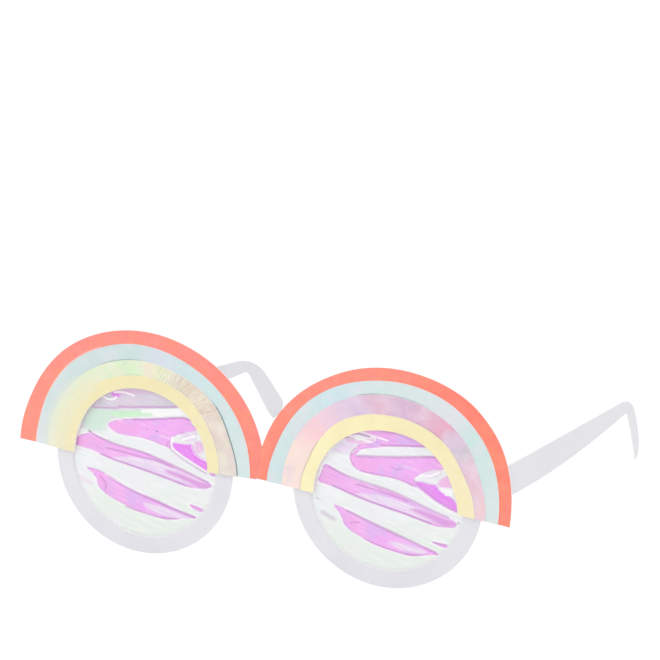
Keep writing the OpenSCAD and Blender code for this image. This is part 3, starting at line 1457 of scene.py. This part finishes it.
@dataclass(frozen=True)
class Studio:
    """The pale table, the lights and the camera.

    Places and reaches are in metres, the camera's angles in degrees, and its lens and sensor
    in millimetres. The light is the strength of the world on the object.
    """

    table_reach: float = 6.0
    light: float = 0.92
    aim: Triple = (0.0, 0.02, 0.03)
    lamps: tuple[Lamp, ...] = (
        Lamp("key", (-0.5, -0.7, 0.9), 0.5, 2.0),
        Lamp("side", (0.9, -0.2, 0.5), 0.3, 0.6),
        Lamp("back", (0.1, 0.9, 0.8), 0.4, 1.0),
    )
    camera_place: Triple = (0.2206, -0.5381, 0.25007)
    heading: float = 20.399
    look_down: float = 17.124
    roll: float = -0.29
    lens: float = 119.97
    sensor: float = 36.0
    clip: Point = (0.01, 50.0)

    def _table(self) -> None:
        """A wide table that shows white and keeps a faint shadow of the pair."""
        sheet = bmesh.new()
        bmesh.ops.create_grid(sheet, x_segments=8, y_segments=8, size=self.table_reach)
        mesh = bpy.data.meshes.new("table")
        sheet.to_mesh(mesh)
        sheet.free()
        graph = Graph(bpy.data.materials.new("white_table"))
        seen = self._seen(graph)
        mesh.materials.append(graph.finish({
            "Base Color": graph.mix(Tone(244, 244, 244), Tone(118, 118, 120), seen),
            "Roughness": 1.0,
            "Emission Color": graph.mix((0.0, 0.0, 0.0, 1.0), (0.86, 0.86, 0.86, 1.0), seen),
            "Emission Strength": 1.0,
            "Specular IOR Level": 0.0,
        }))
        table = bpy.data.objects.new("table", mesh)
        bpy.context.scene.collection.objects.link(table)

    @staticmethod
    def _seen(graph: Graph) -> Wire:
        """Picks out the rays that see the background directly, in a gloss or through the film.

        Args:
            graph: the table's nodes.

        Returns:
            1 for those rays and 0 for the others.
        """
        rays = graph.add("ShaderNodeLightPath", {}, {}).outputs
        kinds = ("Is Camera Ray", "Is Glossy Ray", "Is Transmission Ray")
        camera, gloss, through = (Wire(graph, rays[kind]) for kind in kinds)
        return (camera + gloss + through).step(0.0, 1.0)

    def _world(self) -> None:
        """Even white light from all round, in front of a plain white background."""
        world = bpy.data.worlds.new("studio")
        bpy.context.scene.world = world
        graph = Graph(world)
        camera = graph.node("ShaderNodeLightPath", {}, {}, "Is Camera Ray")
        light, background = (
            graph.node("ShaderNodeBackground", {}, {"Color": (1.0, 1.0, 1.0, 1.0), "Strength": strength})
            for strength in (self.light, 1.0)
        )
        choice = graph.node("ShaderNodeMixShader", {}, {0: camera, 1: light, 2: background})
        graph.add("ShaderNodeOutputWorld", {}, {"Surface": choice})

    def _camera(self) -> None:
        """The camera where the photographer stood."""
        heading, down = math.radians(self.heading), math.radians(self.look_down)
        ahead = Vector((
            -math.sin(heading) * math.cos(down), math.cos(heading) * math.cos(down), -math.sin(down),
        ))
        turn = ahead.to_track_quat("-Z", "Y") @ Quaternion((0, 0, 1), math.radians(self.roll))
        data = bpy.data.cameras.new("camera")
        data.lens = self.lens
        data.sensor_width = self.sensor
        data.clip_start, data.clip_end = self.clip
        holder = bpy.data.objects.new("camera", data)
        holder.location = self.camera_place
        holder.rotation_mode = "QUATERNION"
        holder.rotation_quaternion = turn
        bpy.context.scene.collection.objects.link(holder)
        bpy.context.scene.camera = holder

    def build(self) -> None:
        """Sets up everything round the glasses."""
        bpy.context.scene.view_settings.view_transform = "Standard"
        self._table()
        self._world()
        for lamp in self.lamps:
            lamp.build(Vector(self.aim))
        self._camera()


CORAL_BLUSH = Tone(255, 154, 116)
YELLOW_BLUSH = Tone(246, 233, 180)

CORAL_LEFT = BandFinish(
    tones=((0, Tone(255, 138, 124)), (90, Tone(254, 144, 133)), (180, Tone(253, 147, 130))),
    blush=CORAL_BLUSH,
    # Painted highlight: a thin pale line just past the mint ply's edge, standing in for its cut edge
    # catching the light
    shades=(Shade(118, 186, 0.0, 0.36, Tone(255, 222, 208), 0.7, 8.0),),
)
CORAL_RIGHT = BandFinish(
    tones=(
        (0, Tone(252, 138, 118)), (30, Tone(254, 132, 112)), (55, Tone(255, 130, 112)),
        (100, Tone(253, 144, 126)), (180, Tone(253, 140, 120)),
    ),
    blush=CORAL_BLUSH,
)
MINT_LEFT = BandFinish(
    tones=(
        (0, Tone(214, 231, 228)), (60, Tone(206, 228, 229)), (82, Tone(213, 222, 232)),
        (96, Tone(202, 223, 220)), (108, Tone(205, 222, 221)), (150, Tone(207, 225, 223)),
        (168, Tone(217, 226, 228)), (180, Tone(224, 230, 232)),
    ),
    blush=Tone(221, 225, 231),
    shades=(
        # Painted shadow lines where the foil ply stands off the mint ply
        Shade(1, 38, 0.0, 0.34, Tone(104, 104, 108), 0.75),
        Shade(92, 112, 0.0, 0.3, Tone(150, 170, 156), 0.5),
        # A broad blend of the mint and foil colours across their soft border
        Shade(138, 190, -1.2, 1.6, Tone(224, 231, 219), 0.65, 12.0),
    ),
)
MINT_RIGHT = BandFinish(
    tones=(
        (0, Tone(218, 230, 229)), (40, Tone(203, 229, 225)), (56, Tone(222, 226, 232)),
        (90, Tone(213, 230, 227)), (122, Tone(204, 228, 234)), (140, Tone(211, 228, 230)),
        (180, Tone(209, 228, 229)),
    ),
    blush=Tone(225, 225, 232),
    shades=(
        # Painted shadow lines along the edge of the foil ply
        Shade(99, 107, 0.0, 0.3, Tone(140, 130, 142), 0.6),
        Shade(74, 92, 0.0, 0.26, Tone(170, 158, 174), 0.5),
    ),
)
FOIL_LEFT = FoilFinish(
    tones=(
        (0, Tone(228, 215, 210)), (30, Tone(226, 209, 198)), (50, Tone(229, 208, 187)),
        (65, Tone(224, 215, 194)), (79, Tone(228, 234, 196)), (86, Tone(244, 230, 208)),
        (92, Tone(216, 242, 200)), (112, Tone(222, 238, 202)), (132, Tone(229, 236, 206)),
        (180, Tone(232, 235, 209)),
    ),
    blush=Tone(238, 234, 214),
    shades=(
        # Broad blends of colour across the soft borders with the yellow ply and the mint ply
        Shade(128, 190, -1.5, 2.6, Tone(238, 233, 197), 0.75, 12.0),
        Shade(138, 190, 3.2, 6.0, Tone(226, 232, 217), 0.6, 12.0),
    ),
    creased=((38, 76),),
)
FOIL_RIGHT = FoilFinish(
    tones=(
        (0, Tone(240, 204, 208)), (27, Tone(229, 194, 209)), (40, Tone(207, 195, 209)),
        (47, Tone(205, 183, 210)), (55, Tone(231, 171, 192)), (66, Tone(227, 181, 205)),
        (85, Tone(215, 182, 210)), (98, Tone(227, 186, 206)), (112, Tone(216, 195, 222)),
        (133, Tone(240, 208, 222)), (142, Tone(250, 208, 213)), (160, Tone(249, 226, 216)),
    ),
    blush=Tone(232, 208, 226),
    # A painted shadow line along the edge of the yellow ply
    shades=(Shade(148, 182, 0.0, 0.3, Tone(122, 110, 104), 0.55),),
)
YELLOW_LEFT = BandFinish(
    tones=((0, Tone(244, 234, 190)), (100, Tone(240, 230, 182)), (180, Tone(240, 232, 190))),
    blush=YELLOW_BLUSH,
    # A broad blend of the yellow and foil colours across their soft border
    shades=(Shade(128, 190, -2.2, 1.5, Tone(236, 233, 202), 0.7, 12.0),),
)
YELLOW_RIGHT = BandFinish(
    tones=(
        (0, Tone(247, 235, 196)), (60, Tone(246, 235, 188)), (110, Tone(249, 239, 190)),
        (180, Tone(252, 244, 194)),
    ),
    blush=YELLOW_BLUSH,
)

LEFT_OPENING = CutEdge(((0, 21.6), (110, 21.3), (140, 20.9), (160, 20.4), (180, 20.5)))
RIGHT_OPENING = CutEdge((
    (0, 21.6), (10, 21.3), (20, 20.7), (60, 20.7), (95, 20.1), (130, 20.5), (180, 20.7),
))
CORAL_EDGE_LEFT = CutEdge((
    (0, 38.8), (30, 38.8), (70, 38.1), (100, 38.1), (130, 38.4), (157, 37.9), (180, 38.6),
))
MINT_EDGE_LEFT = CutEdge((
    (0, 34.4), (20, 34.3), (65, 33.6), (95, 34.2), (130, 34.2), (165, 32.9), (180, 33.2),
))
FOIL_EDGE_LEFT = CutEdge(((0, 30.5), (20, 29.5), (40, 30.3), (70, 29.5), (180, 29.5)))
YELLOW_EDGE_LEFT = CutEdge(((0, 25.1), (30, 24.9), (50, 25.5), (110, 25.1), (180, 24.9)))
CORAL_EDGE_RIGHT = CutEdge((
    (0, 36.2), (12, 36.7), (35, 38.4), (55, 38.9), (80, 38.0), (120, 37.4), (150, 38.1), (180, 38.2),
))
MINT_EDGE_RIGHT = CutEdge((
    (0, 32.9), (12, 33.2), (35, 34.4), (60, 34.9), (100, 34.0), (135, 34.5), (162, 34.2), (180, 35.0),
))
FOIL_EDGE_RIGHT = CutEdge(((0, 29.3), (25, 29.1), (45, 30.4), (80, 30.2), (180, 30.3)))
YELLOW_EDGE_RIGHT = CutEdge((
    (0, 26.4), (30, 24.8), (50, 25.4), (90, 24.6), (128, 25.1), (160, 23.9), (180, 24.6),
))

LEFT_PLIES = (
    Ply("coral", "coral_paper", CORAL_EDGE_LEFT, ((-0.22, -0.25), (-0.65, 0.52)), CORAL_LEFT),
    Ply("mint", "mint_paper", MINT_EDGE_LEFT, ((-0.24, -0.25), (-0.68, 0.6)), MINT_LEFT),
    Ply("iridescent", "green_foil_paper", FOIL_EDGE_LEFT, ((-0.26, -0.3), (-0.74, 0.55)), FOIL_LEFT,
        (Lift(-10, 50, 0.2), Lift(92, 123, 0.12)), 26.2),
    Ply("yellow", "yellow_paper", YELLOW_EDGE_LEFT, ((-0.22, -0.25), (-0.78, 0.5)), YELLOW_LEFT,
        (Lift(90, 104, 0.12),), 22.2),
)
RIGHT_PLIES = (
    Ply("coral", "coral_paper", CORAL_EDGE_RIGHT, ((0.14, -1.4), (-1.4, -0.75)), CORAL_RIGHT),
    Ply("mint", "mint_paper", MINT_EDGE_RIGHT, ((0.12, -1.42), (-1.42, -0.75)), MINT_RIGHT),
    Ply("iridescent", "pink_foil_paper", FOIL_EDGE_RIGHT, ((0.1, -1.44), (-1.46, -0.76)), FOIL_RIGHT,
        (Lift(66, 110, 0.12),), 26.2),
    Ply("yellow", "yellow_paper", YELLOW_EDGE_RIGHT, ((0.08, -1.44), (-1.5, -0.76)), YELLOW_RIGHT,
        (Lift(52, 78, 0.15), Lift(150, 178, 0.2)), 22.2),
)

LEFT_MARKS = {
    Tint.MINT: (
        Patch((
            (-19, 8.5), (-18.6, 11.5), (-16.5, 14), (-12, 14.3), (-10.8, 12.6), (-11.6, 10.5),
            (-12, 8.8), (-14.5, 7.6), (-17, 7.2))),
    ),
    Tint.GREEN: (
        Patch((
            (-10.5, 12.3), (-9.8, 13.8), (-5, 14.4), (1, 14.9), (2.8, 14.2), (-1, 13.2), (-5, 12.3))),
    ),
    Tint.SMOKE: (
        Patch((
            (-17.5, 14.6), (-14, 18.6), (-8, 21.3), (0, 22.2), (6, 20.8), (12, 17.8), (9, 16.8),
            (4, 16.2), (-1, 15.8), (-7, 15.2), (-12, 14.6))),
    ),
    Tint.ORCHID: (
        Patch((
            (-11.5, 9.5), (-10, 10.9), (-6, 11.9), (-3, 12.3), (1, 12.7), (6, 13.5), (12, 14.4),
            (14.3, 14), (15, 12.6), (16.5, 11.3), (13.5, 10.2), (10, 8.9), (8.6, 7.6), (8.1, 6.2),
            (8.6, 4.9), (5, 5.6), (2, 6.4), (-2, 7), (-6, 7.1), (-9.5, 7.8))),
        Patch((
            (-22.6, 2.7), (-22, 4.6), (-20, 5.6), (-17, 6.6), (-15, 6), (-12, 4.6), (-8, 3.7), (-3, 3),
            (1.5, 2.4), (2.6, 1.8), (5, 1), (8, 0), (11, -1.1), (15, -2.4), (19.5, -3.7), (20.9, -4.7),
            (20, -5.6), (17.5, -6), (16, -6.2), (13, -5.9), (10, -5.1), (5, -4), (0, -2.9), (-5, -1.8),
            (-10, -0.7), (-14, 0.4), (-18, 1.5))),
        Patch((
            (-18.7, -4.1), (-16, -4.3), (-13, -5.2), (-10, -6.5), (-7, -7.9), (-4, -9.2), (0, -10),
            (4, -11.3), (8, -12.6), (12, -13.8), (16.5, -15), (13, -15.6), (10, -16.4), (6, -16.8),
            (3, -16.2), (0, -15.7), (-3, -15.2), (-6, -14.2), (-9, -13), (-12, -11.7), (-14, -10.3),
            (-15, -9), (-15.3, -7.5), (-16.5, -5.8))),
        Patch(((14, -11.3), (16, -11.5), (18.8, -12.2), (18.6, -13), (16.5, -12.9), (14.6, -12))),
        Patch(((20.3, -0.8), (21.5, -0.9), (22.6, -1.6), (21.5, -1.9), (20.5, -1.6))),
    ),
    Tint.LILAC: (
        Patch((
            (-10, -0.2), (-5, 0.7), (0, 1), (4, 0.6), (8, -0.6), (12, -1.8), (16, -3), (19, -3.9),
            (20, -4.8), (18.5, -6), (15, -5.6), (12, -5), (8, -4.1), (4, -3.2), (0, -2.4), (-5, -1.4))),
        Patch((
            (-0.5, -12.6), (3, -12.6), (7, -13.4), (11, -14.4), (14.5, -15.2), (12, -15.9),
            (8, -15.9), (4, -15.4), (1, -14.4))),
        Patch(((11, 8.4), (12, 9.4), (14, 10.3), (16, 10.8), (16.3, 9), (14.6, 7.5), (11.8, 7.4))),
    ),
    Tint.ROSE: (
        Patch(((-12, 19.3), (-8, 20.6), (-2, 21), (3, 20.9), (-3, 19.8), (-8, 19))),
        Patch(((-9.8, 8.4), (-9.8, 10.2), (-6, 11), (-2, 10.5), (-2, 8.4), (-6, 7.8))),
        Patch(((-21.6, 3.2), (-20, 4.8), (-16, 5.6), (-13, 3.6), (-16, 2.2), (-20, 2.4))),
        Patch(((-14.6, -6.4), (-13, -6.6), (-11.6, -8.6), (-12.2, -10.6), (-13.8, -9.4))),
        Stroke(((-21, -7), (-19.4, -8), (-17, -8.8)), 0.5),
    ),
    Tint.MAGENTA: (
        Patch((
            (8.8, 6.6), (10.5, 6.7), (13, 6.6), (15, 7), (15.3, 6), (15.8, 4.8), (17, 3.6),
            (18.6, 2.8), (19.6, 2), (19.8, 0.5), (19.5, -0.9), (17.5, 0), (15, 1.2), (12.5, 2.5),
            (10.5, 3.8), (9, 5))),
        Patch(((-10.2, 19.5), (-8, 19.3), (-7.3, 18.5), (-9, 18.1), (-10.3, 18.6))),
    ),
    Tint.PLUM: (
        Patch((
            (6.8, -1.7), (9, -1.9), (12, -2.5), (16, -3.6), (20, -4.4), (20.9, -4.9), (19.6, -5.9),
            (17.6, -6.1), (15, -5.1), (12, -4.1), (9.5, -3.3), (7.4, -2.6))),
    ),
    Tint.MAUVE_SHADE: (
        Stroke(((-8, 15.5), (-4.5, 15.6), (-1, 16.1), (4, 16.6), (10, 17.4)), 0.55),
        Stroke(((-16, 14.3), (-12, 14.6), (-8, 15)), 0.5),
        Stroke(((-3.5, 12.1), (1, 12.6), (6, 13.4), (12, 14.3), (14, 13.9)), 0.6),
        Stroke((
            (-16.6, 6.5), (-13, 5), (-8, 3.8), (-2, 2.9), (3, 1.7), (9, -0.2), (15, -2.2), (20, -4),
        ), 0.55),
        Stroke(((-12, 2.6), (-7, 2), (-1, 1.2), (4, 0.6), (9, -0.8)), 0.5),
        Stroke(((-14, 0.5), (-9, -0.8), (-4, -1.9), (2, -3.2), (8, -4.6), (13, -5.8)), 0.6),
        Stroke(((7.6, 6.9), (7.2, 5.6), (8.6, 4.2), (12, 2), (16, 0), (19.4, -1.4)), 0.35),
        Stroke(((-14.4, -6.2), (-12.4, -8.2), (-12.6, -10)), 0.5),
        Stroke(((-11.5, -6.2), (-7, -8.2), (-2, -10), (4, -11.7), (10, -13.6), (15.5, -15)), 0.65),
        Stroke(((-6, -14.5), (-1, -15.6), (5, -16.5), (10, -16.2)), 0.45),
        Stroke(((14.5, -11.5), (16.5, -12), (18.4, -12.9)), 0.4),
    ),
    Tint.CURL: (
        Patch(((15.6, 7.4), (17, 8), (18.1, 7.4), (18.5, 6), (18, 4.6), (17, 4.2), (16, 5))),
    ),
    Tint.INK: (
        Stroke(((-22.7, -3), (-22.4, -2.9)), 0.5),
        Stroke(((-17.8, 7), (-17, 6.8)), 0.45),
        Stroke(((0.8, 9.9), (1.1, 9.8)), 0.35),
        Stroke(((3.4, 9.6), (4.3, 9.4)), 0.3),
    ),
    Tint.GLINT: (
        Stroke(((-13.6, 18.2), (-11.4, 17.3), (-9.6, 17.5), (-8.8, 18.2)), 0.55),
        Stroke(((-9.5, 19.6), (-6.5, 19.9), (-3.2, 19.2)), 0.5),
        Stroke(((-0.5, 14.9), (4, 15.4), (9, 16.2), (12.4, 16.6)), 1.1),
        Stroke(((3, 14.2), (8, 15), (13, 15.6)), 0.9),
        Stroke(((-16.6, 6.8), (-14, 5.9), (-12, 5.5)), 0.4),
        Stroke(((8.8, 8.3), (8.4, 6.4), (8.9, 5), (11, 3.4), (14.5, 1.6), (19.4, -0.8)), 0.5),
        Stroke(((11.6, 7.6), (14, 8.7), (16.4, 9.4)), 0.5),
        Stroke(((15, 7.2), (14.8, 5.8), (15.8, 4), (18, 2.7), (19.8, 2.2)), 0.25),
        Stroke(((17, 6.8), (17.3, 5.6), (18.4, 4.6)), 0.15),
        Stroke(((-13, -5.6), (-9, -7.2), (-3, -9.3), (4, -11.1)), 0.25),
    ),
}
RIGHT_MARKS = {
    Tint.SMOKE: (
        Stroke(((-19, -8.2), (-17.4, -9), (-15.6, -9.8)), 0.9),
    ),
    Tint.ORCHID: (
        Patch((
            (-9.5, 11.2), (-8.5, 12.8), (-5, 13.6), (-3.5, 15), (-6, 16), (-8, 16.9), (-4, 17.8),
            (0.5, 18.4), (4, 18.1), (8, 16.5), (11.8, 14.6), (9, 14.1), (5, 13.8), (0, 13.2),
            (-4, 12.4), (-7, 11.8), (-8.5, 10.8), (-9.3, 9.8), (-10.2, 9.8))),
        Patch((
            (-11, 8.2), (-10.7, 9.8), (-9.6, 10.6), (-9, 9.4), (-5, 9.6), (-1, 10), (4, 10.5),
            (9, 11.2), (13.8, 11.9), (15.4, 10.4), (16.3, 8.8), (13, 8), (10, 6.7), (8.3, 5.4),
            (7.9, 4), (8.3, 2.4), (6, 3.1), (3, 4), (0, 4.5), (-4, 4.7), (-8, 5.2), (-10, 6.4))),
        Patch((
            (-20.2, 0.8), (-19.5, 3.5), (-18.3, 6), (-15, 4.7), (-12, 3.3), (-9, 2.3), (-5, 1.5),
            (0, 0.6), (3, -0.2), (7, -1.7), (11, -3.1), (15, -4.3), (19.2, -5.5), (20.4, -6.6),
            (19.6, -7.7), (17, -7.9), (14, -7.9), (10, -6.9), (5, -5.7), (0, -4.7), (-4, -3.8),
            (-8, -2.7), (-12, -1.5), (-16, -0.3))),
        Patch((
            (-15.7, -5.5), (-13, -6.1), (-10, -7.3), (-7, -8.6), (-4, -9.8), (0, -11.1), (4, -12.4),
            (8, -13.7), (12, -14.8), (15.8, -16), (12, -16.7), (7.5, -17.6), (4, -17.2), (0, -16.6),
            (-4, -15.6), (-7.5, -14), (-10.5, -12.5), (-12.3, -11), (-13, -9.5), (-14, -7.5))),
        Patch(((13.2, -12.6), (15, -12.6), (18.4, -13), (18.3, -13.9), (16, -13.7))),
    ),
    Tint.LILAC: (
        Patch((
            (-9.5, -1.5), (-5, -0.9), (0, -1.2), (4, -2), (8, -3), (12, -4), (16, -5), (19, -6),
            (18.8, -7.5), (15, -7.2), (11, -6.6), (6, -5.4), (0, -4.1), (-5, -2.9))),
        Patch((
            (0.8, -14.2), (4, -14), (8, -14.6), (12, -15.7), (10.5, -16.6), (6.5, -16.4), (3, -15.7))),
        Patch((
            (-16.4, 9.8), (-15, 11.8), (-13, 13.6), (-11.5, 13.9), (-9.8, 13.4), (-9.6, 12.4),
            (-11.2, 11), (-11.8, 9.6), (-14, 9.8))),
        Patch(((9.8, 6.4), (11.4, 7.5), (13.4, 8.2), (15.6, 8), (15, 6.4), (12.6, 5.8), (10.8, 5.8))),
    ),
    Tint.ROSE: (
        Patch(((-10.4, 8), (-9.8, 9.8), (-8, 8.8), (-3, 8.6), (-4, 5.6), (-8, 5.8))),
        Patch(((-19, 1.4), (-18.2, 4.8), (-15, 4), (-13, 1.8), (-16, 0.4))),
        Patch(((15.6, 3.8), (16.2, 5.8), (17.6, 6.4), (18.2, 5), (17.4, 3.8))),
        Patch(((-12.4, -7.6), (-10.6, -8), (-8.4, -10), (-9, -12), (-11.4, -10.4))),
    ),
    Tint.MAGENTA: (
        Patch((
            (8, 3.9), (9.5, 4.5), (12, 4.1), (14, 4.1), (15, 3), (16.5, 2), (19, 0.7), (20, -0.4),
            (20.5, -2.2), (20.2, -3.1), (17.5, -2.4), (14.5, -1.1), (11.5, 0.7), (9.3, 2.1), (8.1, 3))),
    ),
    Tint.PLUM: (
        Patch((
            (7, -3.7), (9, -3.6), (12, -4.1), (16, -5.1), (19.8, -6.2), (19.4, -7.3), (17.2, -7.7),
            (14, -6.6), (10.5, -5.4), (8, -4.5))),
    ),
    Tint.MAUVE_SHADE: (
        Stroke(((-11.4, 15.5), (-8.6, 15.9), (-5.6, 15.4)), 0.7),
        Stroke(((-8.4, 17), (-3, 17.6), (2, 17.4)), 0.4),
        Stroke(((-2, 13.4), (4, 14), (11, 14.7)), 0.55),
        Stroke(((-13.4, 14.2), (-11.4, 14.6), (-10, 14.4)), 0.5),
        Stroke(((-9.4, 11.8), (-10.6, 10.4), (-11, 8.6), (-10, 6.6)), 0.4),
        Stroke(((-8.8, 9.5), (-3, 10), (4, 10.7), (10, 11.5), (14, 11.9)), 0.6),
        Stroke(((-8, 5.4), (-3, 4.8), (3, 4.2), (7.4, 3)), 0.4),
        Stroke(((1, 7.8), (2.4, 7), (4, 7.4)), 0.3),
        Stroke(((8, 4.2), (9.4, 3.2), (13, 0.6), (16.4, -1.4), (20.2, -3)), 0.45),
        Stroke(((-17.4, 5.4), (-12, 3.4), (-6, 2), (0, 0.9), (6, -1), (12, -3.2), (18, -5)), 0.5),
        Stroke(((-9, 1.2), (-4, 0.4), (1, -0.5), (6, -1.9)), 0.5),
        Stroke(((-16, 0.1), (-10, -1.9), (-4, -3.5), (2, -4.8), (8, -6.2), (13, -7.4)), 0.6),
        Stroke(((-11.6, -6.8), (-6, -8.9), (0, -10.9), (7, -13.2), (14.5, -15.6)), 0.65),
        Stroke(((-10.6, -10.2), (-9, -9.9), (-7.8, -9.8)), 0.35),
        Stroke(((-6, -14.6), (0, -16.2), (6, -17.2), (11, -16.8)), 0.45),
        Stroke(((13.6, -12.7), (16, -13), (18.2, -13.6)), 0.4),
    ),
    Tint.CURL: (
        Patch(((14.6, 4), (15.2, 5.6), (17.3, 7), (18.4, 5.8), (18.9, 4), (17.5, 3.4), (16, 3.2))),
        Stroke(((-11.8, 13.7), (-9, 13.4), (-6.4, 13.9), (-4.4, 14.6)), 1.1),
    ),
    Tint.INK: (
        Stroke(((-22.4, -4.3), (-21.9, -4.8)), 0.45),
        Stroke(((-21.2, -4.1), (-20.2, -4.4), (-19.6, -4.7)), 0.25),
        Stroke(((20.6, -6), (21.1, -6.4)), 0.35),
    ),
    Tint.GLINT: (
        Patch(((15.3, 2.6), (16.5, 3.2), (18.2, 3), (18.7, 1.8), (17, 1.5))),
        Stroke(((-11.5, 15), (-8, 14.3), (-5, 13.9)), 0.45),
        Stroke(((-9, 16.7), (-5, 15.9), (0, 15)), 0.45),
        Stroke(((8, 5), (9.6, 6), (12.6, 6.4), (15, 7.8)), 0.45),
        Stroke(((7.6, 2.4), (10.4, 0.6), (14, -1.6), (17, -2.8), (20, -4)), 0.4),
        Stroke(((15, 2.8), (16.4, 3.3), (18.2, 3), (18.8, 1.8), (17, 1.3)), 0.4),
        Stroke(((0, -1.6), (4, -2.5), (8, -3.5)), 0.2),
    ),
}


def main() -> None:
    """Builds the pair and its studio."""
    logging.basicConfig(level=logging.INFO, format="%(name)s %(message)s")
    plane = FrontPlane.from_frame()
    LOG.info("front leans %.2f degrees", math.degrees(plane.lean))
    core = CoreFinish().build("paper_core")
    right = Rainbow(Side.RIGHT, (36.4, -2.0), -3.2, RIGHT_OPENING, RIGHT_PLIES)
    right.build(plane, core)
    Rainbow(Side.LEFT, (-38.1, 0.6), -1.9, LEFT_OPENING, LEFT_PLIES, right).build(plane, core)
    FilmLens(Side.LEFT, LEFT_MARKS).build(plane)
    FilmLens(Side.RIGHT, RIGHT_MARKS).build(plane)
    CardFront().build(plane)
    Temple(Side.LEFT, 12).build(plane)
    Temple(Side.RIGHT, -5).build(plane)
    Studio().build()


if __name__ == "__main__":
    main()
